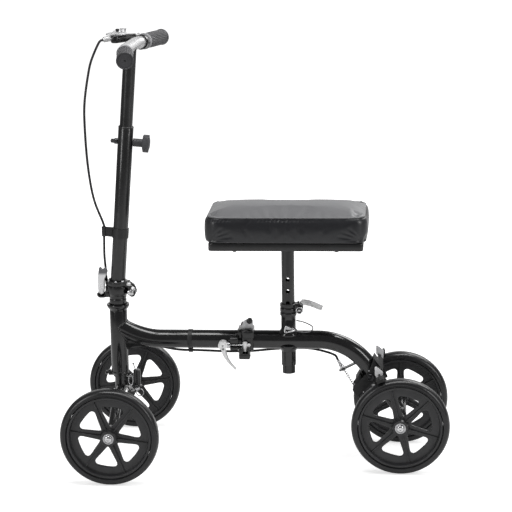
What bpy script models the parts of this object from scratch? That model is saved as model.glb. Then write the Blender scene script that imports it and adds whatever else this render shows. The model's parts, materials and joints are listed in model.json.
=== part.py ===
# Folding knee walker with four wheels, a padded knee rest on a height-set post,
# a folding steering column, a hinged main beam and a hand brake on the rear wheels.
# Metres. +Z is up, the walker drives towards -X, and +Y is the rider's right side.
# The origin is on the floor, half way between the two axles.

import bpy
import bmesh
from math import atan2, cos, hypot, pi, radians, sin, tan
from mathutils import Matrix, Vector

# Fits
FIT = 0.0003                     # gap left between two pieces that touch

# Wheels
WHEEL_R = 0.100                  # 200 mm wheels
TYRE_HALF_W = 0.0155
TYRE_T = 0.0140
TYRE_SEAT_R = WHEEL_R - TYRE_T   # inner face of the tyre
RIM_HALF_W = 0.0125
RIM_LIP_T = 0.0050
WEB_HALF_T = 0.0030
HUB_HALF_W = 0.0170
HUB_R = 0.0155
BEARING_R = 0.0110
BEARING_W = 0.0070
BOLT_R = 0.0040
SPOKES = 6
WHEEL_SIDES = 24
FRONT_AXLE_X = -0.2910
REAR_AXLE_X = 0.2910
FRONT_HALF_TRACK = 0.1815
REAR_HALF_TRACK = 0.0970

# Main beam
BEAM_Z = 0.2533
BEAM_R = 0.0190
BEAM_SIDES = 16
BEND_START_X = 0.1210
BEND_R = 0.1240
BEND_ANGLE = radians(61.5)

# Hinge in the main beam
SEAM_X = -0.0360
HINGE_Y = 0.0340
HINGE_PIN_R = 0.0030
KNUCKLE_R = 0.0065
BLOCK_TOP_Z = 0.2781
BLOCK_BOTTOM_Z = 0.2335
ROD_Y = -0.0300
ROD_Z = 0.2488
ROD_R = 0.0030
FRAME_CAM_X = -0.0736
FRAME_CAM_R = 0.0087
CATCH_X = -0.0199
CATCH_Z = 0.2988

# Seat post and seat tube
SEAT_X = 0.0600
POST_R = 0.0133
POST_BOTTOM_Z = 0.1826
POST_TOP_Z = 0.4582
HOLE_PITCH = 0.0248
TOP_HOLE_Z = 0.3833
HOLES = 5
HOLE_R = 0.0045
SEAT_TUBE_R = 0.0152
SEAT_TUBE_BOTTOM_Z = 0.1999
SEAT_TUBE_TOP_Z = 0.3320
SKEWER_X = 0.0835
SKEWER_Z = 0.3210
SEAT_CAM_Y = 0.0220
SEAT_CAM_R = 0.0068
PIN_R = 0.0040

# Knee rest
PAD_X0 = -0.1040
PAD_X1 = 0.2280
PAD_HALF_Y = 0.0890
PAD_BOTTOM_Z = 0.4752
PAD_SEAM_Z = 0.5260
PAD_TOP_Z = 0.5450
PAD_CORNER_R = 0.0260
TRAY_X0 = -0.0954
TRAY_X1 = 0.2161
TRAY_HALF_Y = 0.0800
TRAY_BOTTOM_Z = 0.4585
TRAY_TOP_Z = 0.4748

# Head tube, fork and steering
HEAD_X = -0.2935
HEAD_R = 0.0180
HEAD_BORE_R = 0.0150
HEAD_BOTTOM_Z = 0.1840
HEAD_TOP_Z = 0.3075
STEERER_R = 0.0118
CUP_TOP_Z = 0.3225
FORK_LEG_R = 0.0105

# Steering column
COLUMN_TILT = radians(4.81)
COLUMN_FOOT_Z = 0.3560
LOWER_R = 0.0154
LOWER_BORE_R = 0.0143
LOWER_LENGTH = 0.3420
MOUTH_TO_KNOB = 0.0290
UPPER_R = 0.0130
UPPER_BORE_R = 0.0114
FOLD_X = -0.2620
FOLD_Z = 0.3530
LATCH_X = -0.3235
LATCH_Z = 0.3520
KNOB_AT = LOWER_LENGTH - MOUTH_TO_KNOB
UPPER_BELOW_KNOB = 0.1830       # how far the upper tube reaches down past the knob
UPPER_START = KNOB_AT - UPPER_BELOW_KNOB
CLIP_AT = 0.1230

# Handlebar
BAR_Z = 0.8610
BAR_R = 0.0125
BAR_END_R = 0.0110
BAR_HALF = 0.1950
BAR_BEND_Y = 0.0480
BAR_SWEEP = radians(7.4)
BAR_TURN = radians(3.4)          # the bar stands a little turned, as it does at rest
GRIP_R = 0.0155
GRIP_END = BAR_HALF + 0.0025
GRIP_START = GRIP_END - 0.1030
LEVER_X = -0.0420                # lever pivot, from the centre of the bar
LEVER_Y = GRIP_START - 0.0345    # the perch sits against the grip's inner end
BUTTON_Y = LEVER_Y + 0.0220

# Brake
YOKE_X = 0.2288
YOKE_Z = 0.1797
CHEEK_INNER_Y = 0.0195
CHEEK_T = 0.0030
YOKE_TAB_Y = 0.0690
SHOE_ANGLE = radians(112.6)
SHOE_GAP = 0.0030
SHOE_T = 0.0063
WIRE_R = 0.0008
CABLE_R = 0.0025
ADJUSTER_X = 0.1729              # where the brake wire crosses the stop bracket
ADJUSTER_Z = 0.1903
ANCHOR_X = 0.1950
ANCHOR_Z = 0.1530
SPRING_COIL_R = 0.0040
SPRING_WIRE_R = 0.0005
SPRING_TURNS = 8

# Colours as base colour, roughness and metallic
FINISHES = {
    "gloss_black": ((0.012, 0.012, 0.013), 0.16, 0.0),
    "satin_black": ((0.016, 0.016, 0.017), 0.38, 0.0),
    "black_steel": ((0.020, 0.020, 0.021), 0.30, 0.4),
    "wheel_grey": ((0.045, 0.045, 0.048), 0.52, 0.0),
    "tyre_rubber": ((0.030, 0.030, 0.032), 0.40, 0.0),
    "grip_rubber": ((0.055, 0.055, 0.060), 0.62, 0.0),
    "soft_black": ((0.022, 0.022, 0.023), 0.60, 0.0),
    "chrome": ((0.78, 0.78, 0.79), 0.14, 1.0),
    "steel": ((0.58, 0.58, 0.59), 0.30, 1.0),
    "silver": ((0.72, 0.72, 0.72), 0.36, 0.8),
    "vinyl": ((0.020, 0.021, 0.026), 0.36, 0.0),
    "cable_black": ((0.018, 0.018, 0.019), 0.42, 0.0),
}


def clear_scene():
    for obj in list(bpy.data.objects):
        bpy.data.objects.remove(obj, do_unlink=True)


def finish_material(node, finish):
    colour, roughness, metallic = FINISHES[finish]
    mat = bpy.data.materials.new(node + "_material")
    mat.use_nodes = True
    shader = mat.node_tree.nodes["Principled BSDF"]
    shader.inputs["Base Color"].default_value = (*colour, 1.0)
    shader.inputs["Roughness"].default_value = roughness
    shader.inputs["Metallic"].default_value = metallic
    mat.diffuse_color = (*colour, 1.0)
    return mat


# Basic solids. Each returns an object whose mesh is one closed skin.

def face_outward(bm):
    bmesh.ops.recalc_face_normals(bm, faces=bm.faces[:])
    if bm.calc_volume(signed=True) < 0:
        bmesh.ops.reverse_faces(bm, faces=bm.faces[:])


def to_object(bm, name="solid"):
    face_outward(bm)
    mesh = bpy.data.meshes.new(name)
    bm.to_mesh(mesh)
    bm.free()
    obj = bpy.data.objects.new(name, mesh)
    bpy.context.scene.collection.objects.link(obj)
    return obj


def frame_along(start, direction):
    """A placing that turns local +Z to the direction and moves it to the start."""
    turn = Vector((0, 0, 1)).rotation_difference(Vector(direction).normalized())
    return Matrix.Translation(Vector(start)) @ turn.to_matrix().to_4x4()


def box(x0, x1, y0, y1, z0, z1, bevel=0.0, place=None):
    bm = bmesh.new()
    bmesh.ops.create_cube(bm, size=1.0)
    size = Matrix.Diagonal((x1 - x0, y1 - y0, z1 - z0, 1.0))
    centre = Matrix.Translation(((x0 + x1) / 2, (y0 + y1) / 2, (z0 + z1) / 2))
    bm.transform(centre @ size)
    if bevel > 0:
        bmesh.ops.bevel(bm, geom=bm.edges[:], offset=bevel, segments=1, affect="EDGES")
    if place is not None:
        bm.transform(place)
    return to_object(bm)


def rod(start, end, radius, sides=16, end_radius=None):
    """A round bar from one point to another, straight or tapered."""
    start = Vector(start)
    end = Vector(end)
    bm = bmesh.new()
    bmesh.ops.create_cone(
        bm, cap_ends=True, segments=sides, radius1=radius,
        radius2=radius if end_radius is None else end_radius, depth=(end - start).length)
    bm.transform(frame_along((start + end) / 2, end - start))
    return to_object(bm)


def turned(profile, sides, place):
    """A turned solid: a closed outline of (radius, height) spun about local Z."""
    bm = bmesh.new()
    verts = [bm.verts.new((radius, 0.0, height)) for radius, height in profile]
    edges = []
    for here, there in zip(verts, verts[1:] + verts[:1]):
        if max(here.co.x, there.co.x) > 1e-7:
            edges.append(bm.edges.new((here, there)))
    bmesh.ops.spin(
        bm, geom=verts + edges, cent=(0, 0, 0), axis=(0, 0, 1),
        angle=2 * pi, steps=sides, use_merge=True)
    bmesh.ops.remove_doubles(bm, verts=bm.verts, dist=1e-6)
    bm.transform(place)
    return to_object(bm)


def prism(outline, low, high, place=None):
    """A plate: an outline in local XY, filled and raised from low to high along Z."""
    bm = bmesh.new()
    verts = [bm.verts.new((x, y, low)) for x, y in outline]
    face = bm.faces.new(verts)
    grown = bmesh.ops.extrude_face_region(bm, geom=[face])
    raised = [item for item in grown["geom"] if isinstance(item, bmesh.types.BMVert)]
    bmesh.ops.translate(bm, verts=raised, vec=(0, 0, high - low))
    if place is not None:
        bm.transform(place)
    return to_object(bm)


def side_plate(outline, y0, y1):
    """A plate that stands in the XZ plane and fills from y0 to y1."""
    upright = Matrix(((1, 0, 0, 0), (0, 0, 1, 0), (0, 1, 0, 0), (0, 0, 0, 1)))
    return prism(outline, y0, y1, upright)


def swept(points, radii, sides):
    """A round tube that follows the points, with its own radius at each of them."""
    points = [Vector(p) for p in points]
    bm = bmesh.new()
    rings = []
    side = None
    for i, point in enumerate(points):
        ahead = points[min(i + 1, len(points) - 1)]
        behind = points[max(i - 1, 0)]
        along = (ahead - behind).normalized()
        if side is None:
            guess = Vector((0, 1, 0)) if abs(along.y) < 0.8 else Vector((0, 0, 1))
            side = guess
        side = (side - along * side.dot(along)).normalized()
        up = along.cross(side)
        ring = []
        for k in range(sides):
            angle = 2 * pi * k / sides
            offset = side * cos(angle) + up * sin(angle)
            ring.append(bm.verts.new(point + offset * radii[i]))
        rings.append(ring)
    for low, high in zip(rings, rings[1:]):
        for k in range(sides):
            n = (k + 1) % sides
            bm.faces.new((low[k], low[n], high[n], high[k]))
    bm.faces.new(list(reversed(rings[0])))
    bm.faces.new(rings[-1])
    return to_object(bm)


def arc(cx, cy, radius, start, end, count):
    """Points on an arc, with angles in degrees."""
    points = []
    for i in range(count):
        angle = radians(start + (end - start) * i / (count - 1))
        points.append((cx + radius * cos(angle), cy + radius * sin(angle)))
    return points


def combine(base, others, operation):
    """Join, or cut away, the other solids with exact Booleans, and bake the result."""
    for other in others:
        step = base.modifiers.new("bool", "BOOLEAN")
        step.operation = operation
        step.solver = "EXACT"
        step.object = other
    bpy.context.view_layer.update()
    depsgraph = bpy.context.evaluated_depsgraph_get()
    baked = bpy.data.meshes.new_from_object(base.evaluated_get(depsgraph))
    if len(baked.polygons) == 0:
        raise ValueError("a Boolean left nothing of " + base.name)
    base.modifiers.clear()
    base.data = baked
    for other in others:
        bpy.data.objects.remove(other, do_unlink=True)
    return base


def fuse(base, *others):
    return combine(base, others, "UNION")


def cut(base, *others):
    return combine(base, others, "DIFFERENCE")


def finish(obj, name, look, origin=(0, 0, 0), sharp=35.0):
    """Name a finished piece, clean it, shade it, and put its origin where it turns."""
    mesh = obj.data
    mesh.transform(Matrix.Translation(-Vector(origin)) @ obj.matrix_world)
    obj.matrix_world = Matrix.Translation(Vector(origin))
    bm = bmesh.new()
    bm.from_mesh(mesh)
    bmesh.ops.remove_doubles(bm, verts=bm.verts, dist=5e-5)
    bmesh.ops.dissolve_degenerate(bm, dist=5e-5, edges=bm.edges[:])
    bmesh.ops.dissolve_limit(
        bm, angle_limit=radians(0.5), verts=bm.verts[:], edges=bm.edges[:])
    bmesh.ops.triangulate(bm, faces=[f for f in bm.faces if len(f.verts) > 4])
    face_outward(bm)
    bm.to_mesh(mesh)
    bm.free()
    mesh.materials.clear()
    mesh.materials.append(finish_material(name, look))
    mesh.shade_smooth()
    mesh.set_sharp_from_angle(angle=radians(sharp))
    mesh.name = name
    obj.name = name
    return obj


def tube_along(name, points, radius, look, bevel_resolution=2):
    """A cord or cable: a poly curve with a round bevel and filled ends."""
    curve = bpy.data.curves.new(name, "CURVE")
    curve.dimensions = "3D"
    curve.resolution_u = 1
    curve.bevel_depth = radius
    curve.bevel_resolution = bevel_resolution
    curve.use_fill_caps = True
    spline = curve.splines.new("POLY")
    spline.points.add(len(points) - 1)
    for slot, point in zip(spline.points, points):
        slot.co = (*point, 1.0)
    obj = bpy.data.objects.new(name, curve)
    bpy.context.scene.collection.objects.link(obj)
    curve.materials.append(finish_material(name, look))
    return obj


def smooth_route(route, spacing):
    """Evenly spaced points on a smooth curve through a few route points."""
    knots = [Vector(p) for p in route]
    ends = [2 * knots[0] - knots[1]] + knots + [2 * knots[-1] - knots[-2]]
    dense = []
    for a, b, c, d in zip(ends, ends[1:], ends[2:], ends[3:]):
        for i in range(24):
            t = i / 24
            dense.append(0.5 * (
                2 * b + (c - a) * t + (2 * a - 5 * b + 4 * c - d) * t ** 2
                + (3 * b - a - 3 * c + d) * t ** 3))
    dense.append(knots[-1])
    total = sum((q - p).length for p, q in zip(dense, dense[1:]))
    count = max(2, round(total / spacing))
    step = total / count
    points = [dense[0]]
    walked = 0.0
    for p, q in zip(dense, dense[1:]):
        gap = (q - p).length
        while len(points) < count and walked + gap >= step * len(points):
            points.append(p.lerp(q, (step * len(points) - walked) / gap))
        walked += gap
    points.append(dense[-1])
    return points


# Wheels

def wheel_place(x, side):
    """Wheel axes point outboard: side is -1 on the left and +1 on the right."""
    half_track = FRONT_HALF_TRACK if x < 0 else REAR_HALF_TRACK
    centre = Vector((x, side * half_track, WHEEL_R))
    return Matrix.Translation(centre) @ Matrix.Rotation(-side * pi / 2, 4, "X")


def make_tyre(name, place):
    outline = [(TYRE_SEAT_R, -TYRE_HALF_W + 0.0015), (TYRE_SEAT_R, TYRE_HALF_W - 0.0015)]
    crown = (WHEEL_R - TYRE_SEAT_R - 0.0020) / 0.95
    for height, bulge in ((0.98, 0.0), (0.76, 0.66), (0.34, 0.95),
                          (-0.34, 0.95), (-0.76, 0.66), (-0.98, 0.0)):
        outline.append((TYRE_SEAT_R + 0.0020 + crown * bulge, TYRE_HALF_W * height))
    tyre = turned(outline, WHEEL_SIDES, place)
    return finish(tyre, name, "tyre_rubber", place.translation, sharp=50)


def window_outline(phase):
    """One rounded three-cornered window between two spokes."""
    tip = 0.245 * WHEEL_R
    outer = 0.545 * WHEEL_R
    half = 0.165 * WHEEL_R
    points = [(tip - 0.040 * WHEEL_R, 0.0)]
    points += arc(outer, -half, 0.070 * WHEEL_R, 255, 360, 3)
    points += arc(outer, half, 0.070 * WHEEL_R, 0, 105, 3)
    turn = Matrix.Rotation(phase, 2)
    return [tuple(turn @ Vector(point)) for point in points]


def make_rim(name, place, phase):
    rim_r = TYRE_SEAT_R - FIT
    lip = TYRE_SEAT_R - RIM_LIP_T
    bore = BEARING_R + FIT
    half = [
        (rim_r, RIM_HALF_W), (lip, RIM_HALF_W), (lip - 0.0020, WEB_HALF_T),
        (HUB_R, WEB_HALF_T), (HUB_R, HUB_HALF_W), (bore, HUB_HALF_W)]
    outline = half + [(radius, -height) for radius, height in reversed(half)]
    rim = turned(outline, WHEEL_SIDES, Matrix.Identity(4))
    windows = []
    ribs = []
    for k in range(SPOKES):
        spoke = phase + 2 * pi * k / SPOKES
        windows.append(prism(window_outline(spoke + pi / SPOKES), -0.02, 0.02))
        ribs.append(box(HUB_R - 0.0015, lip - 0.0010, -0.0009, 0.0009, -0.0075, 0.0075,
                        place=Matrix.Rotation(spoke, 4, "Z")))
    cut(rim, *windows)
    fuse(rim, *ribs)
    rim.matrix_world = place
    bpy.context.view_layer.update()
    return finish(rim, name, "wheel_grey", place.translation)


def make_bearings(name, place):
    """Two ball bearings held apart by a sleeve, turned as one solid with a bore."""
    face = HUB_HALF_W - 0.0005
    inner = face - BEARING_W
    bore = BOLT_R + 0.0005
    sleeve = 0.0065
    outline = [
        (bore, -face), (BEARING_R, -face), (BEARING_R, -inner), (sleeve, -inner),
        (sleeve, inner), (BEARING_R, inner), (BEARING_R, face), (bore, face)]
    bearing = turned(outline, 8, place)
    return finish(bearing, name, "steel", place.translation)


def make_axle_bolt(name, place):
    """A domed bolt from outside the hub into the end of the frame's sleeve."""
    seat = HUB_HALF_W - 0.0005 + FIT
    outline = [
        (0.0, -HUB_HALF_W - 0.0200), (BOLT_R, -HUB_HALF_W - 0.0200), (BOLT_R, seat),
        (0.0070, seat), (0.0066, seat + 0.0030), (0.0040, seat + 0.0042),
        (0.0, seat + 0.0042)]
    bolt = turned(outline, 8, place)
    return finish(bolt, name, "chrome", place.translation)


def make_wheels():
    for x, end in ((FRONT_AXLE_X, "front"), (REAR_AXLE_X, "rear")):
        for side, hand in ((-1, "left"), (1, "right")):
            place = wheel_place(x, side)
            seen = {("front", "left"): -8.5, ("rear", "left"): -16.6,
                    ("front", "right"): 8.0, ("rear", "right"): 30.0}[(end, hand)]
            label = end + "_" + hand
            make_tyre("tyre_" + label, place)
            make_rim("rim_" + label, place, radians(-side * seen))
            make_bearings("bearings_" + label, place)
            make_axle_bolt("axle_bolt_" + label, place)


# Rear frame

def bend_point(angle, radius):
    return (BEND_START_X + radius * sin(angle), 0.0, BEAM_Z - BEND_R + radius * cos(angle))


def rear_beam_route():
    route = [(SEAM_X + 0.0293, 0, BEAM_Z), (BEND_START_X, 0, BEAM_Z)]
    radii = [BEAM_R, BEAM_R]
    steps = 6
    for i in range(1, steps + 1):
        route.append(bend_point(BEND_ANGLE * i / steps, BEND_R))
        radii.append(BEAM_R - 0.0005 * i / steps)
    route += [(0.2440, 0, 0.1660), (0.2600, 0, 0.1450), (REAR_AXLE_X - 0.0015, 0, 0.1020)]
    radii += [0.0168, 0.0138, 0.0125]
    return route, radii


def rear_sleeve_half():
    return REAR_HALF_TRACK - HUB_HALF_W - 0.0010


def make_rear_frame():
    """Beam, seat tube, rear axle sleeve and cable stop, welded into one piece."""
    route, radii = rear_beam_route()
    frame = swept(route, radii, BEAM_SIDES)
    half = rear_sleeve_half()
    sleeve = rod((REAR_AXLE_X, -half, WHEEL_R), (REAR_AXLE_X, half, WHEEL_R), 0.0125, 16)
    seat_tube = rod((SEAT_X, 0, SEAT_TUBE_BOTTOM_Z), (SEAT_X, 0, SEAT_TUBE_TOP_Z),
                    SEAT_TUBE_R, 16)
    flare_top = rod((SEAT_X, 0, BEAM_Z + 0.0100), (SEAT_X, 0, BEAM_Z + 0.0240),
                    0.0225, 16, SEAT_TUBE_R + 0.0001)
    flare_low = rod((SEAT_X, 0, BEAM_Z - 0.0100), (SEAT_X, 0, BEAM_Z - 0.0240),
                    0.0225, 16, SEAT_TUBE_R + 0.0001)
    fuse(frame, sleeve, seat_tube, flare_top, flare_low, stop_bracket())
    bore = rod((SEAT_X, 0, SEAT_TUBE_BOTTOM_Z - 0.01), (SEAT_X, 0, SEAT_TUBE_TOP_Z + 0.01),
               POST_R + 0.0005, 16)
    slit = box(SEAT_X + 0.0100, SEAT_X + 0.0200, -0.0010, 0.0010, 0.2980, 0.3400)
    pin_z = TOP_HOLE_Z - (HOLES - 1) * HOLE_PITCH
    pin_hole = rod((SEAT_X, -0.0300, pin_z), (SEAT_X, 0, pin_z), PIN_R + FIT, 10)
    pivot = rod((YOKE_X, -0.03, YOKE_Z), (YOKE_X, 0.03, YOKE_Z), 0.0040 + FIT, 12)
    cuts = [bore, slit, pin_hole, pivot]
    for side in (-1, 1):
        cuts.append(rod((REAR_AXLE_X, side * (half + 0.002), WHEEL_R),
                        (REAR_AXLE_X, side * (half - 0.0230), WHEEL_R), BOLT_R + FIT, 10))
    cut(frame, *cuts)
    return finish(frame, "rear_frame", "gloss_black")


def wire_direction():
    return Vector((ANCHOR_X - ADJUSTER_X, 0, ANCHOR_Z - ADJUSTER_Z)).normalized()


def wire_point(distance):
    """A point on the line of the brake wire, measured from the stop bracket."""
    return Vector((ADJUSTER_X, 0, ADJUSTER_Z)) + wire_direction() * distance


def stop_bracket():
    """A flat arm from the beam's underside, with a hole for the cable adjuster."""
    root = Vector((0.2000, 0, 0.2046))
    tip = Vector((0.1645, 0, 0.1868))
    along = (tip - root).normalized()
    place = Matrix.Translation(root) @ Matrix.Rotation(
        -atan2(along.z, along.x), 4, "Y")
    length = (tip - root).length
    arm = box(-0.002, length, -0.0070, 0.0070, -0.0013, 0.0013, place=place)
    hole = rod(wire_point(-0.01), wire_point(0.01), 0.0030 + FIT, 12)
    return cut(arm, hole)


def make_rear_hinge_block():
    """The rear half of the beam hinge, with its knuckles and the clamp's boss."""
    block = box(SEAM_X + FIT, SEAM_X + 0.0290, -0.0235, 0.0235,
                BLOCK_BOTTOM_Z, BLOCK_TOP_Z, 0.0025)
    boss = box(-0.0403, -0.0180, -0.0400, -0.0200, 0.2163, 0.2546)
    neck = box(-0.0350, -0.0185, -0.0300, -0.0150, 0.2345, 0.2540)
    lug = box(-0.0262, -0.0136, -0.0045, 0.0055, BLOCK_TOP_Z - 0.004, 0.3040)
    parts = [boss, neck, lug]
    for low, high in ((BLOCK_BOTTOM_Z, 0.2460), (0.2620, BLOCK_TOP_Z)):
        parts.append(rod((SEAM_X, HINGE_Y, low), (SEAM_X, HINGE_Y, high), KNUCKLE_R, 12))
        parts.append(box(SEAM_X + FIT, SEAM_X + 0.0065, 0.0200, HINGE_Y,
                         low + 0.0004, high - 0.0004))
    fuse(block, *parts)
    pocket = box(-0.0325, -0.0221, -0.0450, -0.0245, 0.2318, 0.2600)
    channel = box(-0.0450, -0.0140, ROD_Y - 0.0036, ROD_Y + 0.0036, ROD_Z - 0.0036, 0.2600)
    tail = box(-0.0222, -0.0120, ROD_Y - 0.0048, ROD_Y + 0.0048, ROD_Z - 0.0048, 0.2600)
    pin = rod((SEAM_X, HINGE_Y, 0.22), (SEAM_X, HINGE_Y, 0.29), HINGE_PIN_R + FIT, 12)
    cut(block, pocket, channel, tail, pin)
    bolt = rod((CATCH_X, -0.0100, CATCH_Z), (CATCH_X, 0.0030, CATCH_Z), 0.0025, 12)
    head = rod((CATCH_X, -0.0118, CATCH_Z), (CATCH_X, -0.0079, CATCH_Z), 0.0060, 12)
    fuse(block, bolt, head)
    return finish(block, "rear_hinge_block", "black_steel", sharp=25)


def make_hinge_pin():
    outline = [
        (0.0, BLOCK_BOTTOM_Z - 0.0035), (0.0048, BLOCK_BOTTOM_Z - 0.0030),
        (0.0048, BLOCK_BOTTOM_Z - FIT), (HINGE_PIN_R, BLOCK_BOTTOM_Z - FIT),
        (HINGE_PIN_R, BLOCK_TOP_Z + FIT), (0.0048, BLOCK_TOP_Z + FIT),
        (0.0048, BLOCK_TOP_Z + 0.0030), (0.0, BLOCK_TOP_Z + 0.0035)]
    pin = turned(outline, 10, Matrix.Translation((SEAM_X, HINGE_Y, 0)))
    return finish(pin, "hinge_pin", "steel", (SEAM_X, HINGE_Y, BEAM_Z))


def make_hinge_barrel_nut():
    """The clamp's upright barrel nut and the round nut behind it."""
    barrel = rod((-0.0273, ROD_Y, 0.2323), (-0.0273, ROD_Y, 0.2528), 0.0046, 14)
    tail = rod((-0.0273, ROD_Y, ROD_Z), (-0.0180, ROD_Y, ROD_Z), 0.0025, 12)
    ball = turned(arc(0, 0, 0.0042, -90, 90, 5), 12,
                  Matrix.Translation((-0.0178, ROD_Y, ROD_Z)))
    fuse(barrel, tail, ball)
    return finish(barrel, "hinge_barrel_nut", "chrome")


def make_hinge_catch():
    """A sheet catch that lies over the seam and lifts about its bolt."""
    outline = [(-0.0391, BLOCK_TOP_Z + FIT), (-0.0311, 0.2970), (-0.0262, 0.3030)]
    outline += arc(CATCH_X, CATCH_Z, 0.0062, 90, 0, 4)
    outline += [(-0.0112, 0.2850), (-0.0135, 0.2820), (-0.0185, BLOCK_TOP_Z + FIT)]
    plate = side_plate(outline, -0.0076, -0.0048)
    cut(plate, rod((CATCH_X, -0.02, CATCH_Z), (CATCH_X, 0.0, CATCH_Z), 0.0025 + FIT, 12))
    return finish(plate, "hinge_catch", "silver", (CATCH_X, -0.0062, CATCH_Z))


# Seat clamp, seat post, tray, cushion and lock pin

def make_seat_collar():
    """A split collar round the top of the seat tube, with two ears to its rear."""
    low = 0.3054
    high = 0.3315
    collar = rod((SEAT_X, 0, low), (SEAT_X, 0, high), 0.0172, 16)
    ears = [box(SEAT_X + 0.0120, SKEWER_X + 0.0065, near, near + 0.0073, 0.3130, high - 0.0010)
            for near in (-0.0095, 0.0022)]
    fuse(collar, *ears)
    bore = rod((SEAT_X, 0, low - 0.01), (SEAT_X, 0, high + 0.01), SEAT_TUBE_R + FIT, 16)
    split = box(SEAT_X + 0.0100, SEAT_X + 0.0400, -0.0022, 0.0022, low - 0.01, high + 0.01)
    skewer = rod((SKEWER_X, -0.03, SKEWER_Z), (SKEWER_X, 0.03, SKEWER_Z), 0.0025 + FIT, 12)
    cut(collar, bore, split, skewer)
    return finish(collar, "seat_clamp_collar", "satin_black")


def make_seat_skewer():
    """The clamp's cross rod with its ring nut, and an upright eye for the cam."""
    shank = rod((SKEWER_X, -0.0150, SKEWER_Z), (SKEWER_X, SEAT_CAM_Y, SKEWER_Z), 0.0025, 12)
    nut = rod((SKEWER_X, -0.0150, SKEWER_Z), (SKEWER_X, -0.0098, SKEWER_Z), 0.0060, 12)
    washer = rod((SKEWER_X, 0.0098, SKEWER_Z),
                 (SKEWER_X, SEAT_CAM_Y - SEAT_CAM_R - FIT, SKEWER_Z), 0.0058, 12)
    eye = rod((SKEWER_X, SEAT_CAM_Y, SKEWER_Z - 0.0070),
              (SKEWER_X, SEAT_CAM_Y, SKEWER_Z + 0.0070), 0.0030, 12)
    fuse(shank, nut, washer, eye)
    return finish(shank, "seat_clamp_skewer", "chrome")


def cam_lever(slot, cheek_in, cheek_out, radius, bore, blade):
    """A cam of two round cheeks on a cross eye, with a blade fused to both."""
    cheeks = rod((0, 0, -cheek_out), (0, 0, cheek_out), radius, 16)
    cut(cheeks, box(-radius * 1.5, slot, -radius * 1.5, radius * 1.5, -cheek_in, cheek_in))
    fuse(cheeks, blade)
    return cut(cheeks, rod((0, 0, -0.02), (0, 0, 0.02), bore, 12))


def blade_plate(centre_line, half_t, low, high):
    """A bent strip that follows a centre line in local XY."""
    left = []
    right = []
    count = len(centre_line)
    for i, (x, y) in enumerate(centre_line):
        ax, ay = centre_line[max(i - 1, 0)]
        bx, by = centre_line[min(i + 1, count - 1)]
        length = hypot(bx - ax, by - ay)
        nx = -(by - ay) / length
        ny = (bx - ax) / length
        left.append((x + nx * half_t, y + ny * half_t))
        right.append((x - nx * half_t, y - ny * half_t))
    return prism(left + right[::-1], low, high)


def make_seat_lever():
    """The seat clamp's cam lever: its axis is upright and its blade points rearward."""
    line = [(0.0052, 0.0030), (0.0160, 0.0050), (0.0290, 0.0052), (0.0460, 0.0035)]
    blade = blade_plate(line, 0.0014, -0.0060, 0.0060)
    slope = tan(radians(20))
    for vert in blade.data.vertices:
        vert.co.z -= slope * max(vert.co.x - 0.0080, 0.0)
    lever = cam_lever(0.0035, 0.0029, 0.0064, SEAT_CAM_R, 0.0030 + FIT, blade)
    lever.matrix_world = Matrix.Translation((SKEWER_X, SEAT_CAM_Y, SKEWER_Z))
    bpy.context.view_layer.update()
    return finish(lever, "seat_clamp_lever", "chrome",
                  (SKEWER_X, SEAT_CAM_Y, SKEWER_Z))


def make_seat_post():
    """A tube with five cross holes, and the flange that carries the tray."""
    post = rod((SEAT_X, 0, POST_BOTTOM_Z), (SEAT_X, 0, POST_TOP_Z), POST_R, 16)
    flange = rod((SEAT_X, 0, POST_TOP_Z - 0.0030), (SEAT_X, 0, POST_TOP_Z), 0.0340, 20)
    fuse(post, flange)
    cuts = [rod((SEAT_X, 0, POST_BOTTOM_Z - 0.01), (SEAT_X, 0, POST_TOP_Z - 0.0040),
                0.0114, 16)]
    for i in range(HOLES):
        z = TOP_HOLE_Z - i * HOLE_PITCH
        cuts.append(rod((SEAT_X, -0.03, z), (SEAT_X, 0.03, z), HOLE_R, 8))
    cut(post, *cuts)
    return finish(post, "seat_post", "satin_black", (SEAT_X, 0, TOP_HOLE_Z))


def make_tray():
    tray = box(TRAY_X0, TRAY_X1, -TRAY_HALF_Y, TRAY_HALF_Y, TRAY_BOTTOM_Z, TRAY_TOP_Z, 0.0020)
    return finish(tray, "seat_tray", "satin_black", (SEAT_X, 0, TRAY_BOTTOM_Z))


def rounded_ring(inset, corner, per_corner):
    """A rounded rectangle inside the pad's outline, as (x, y) points."""
    x0 = PAD_X0 + inset
    x1 = PAD_X1 - inset
    half = PAD_HALF_Y - inset
    radius = max(corner - inset * 0.5, 0.004)
    points = []
    for cx, cy, start in ((x1 - radius, half - radius, 0), (x0 + radius, half - radius, 90),
                          (x0 + radius, -half + radius, 180),
                          (x1 - radius, -half + radius, 270)):
        points += arc(cx, cy, radius, start, start + 90, per_corner)
    return points


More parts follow.
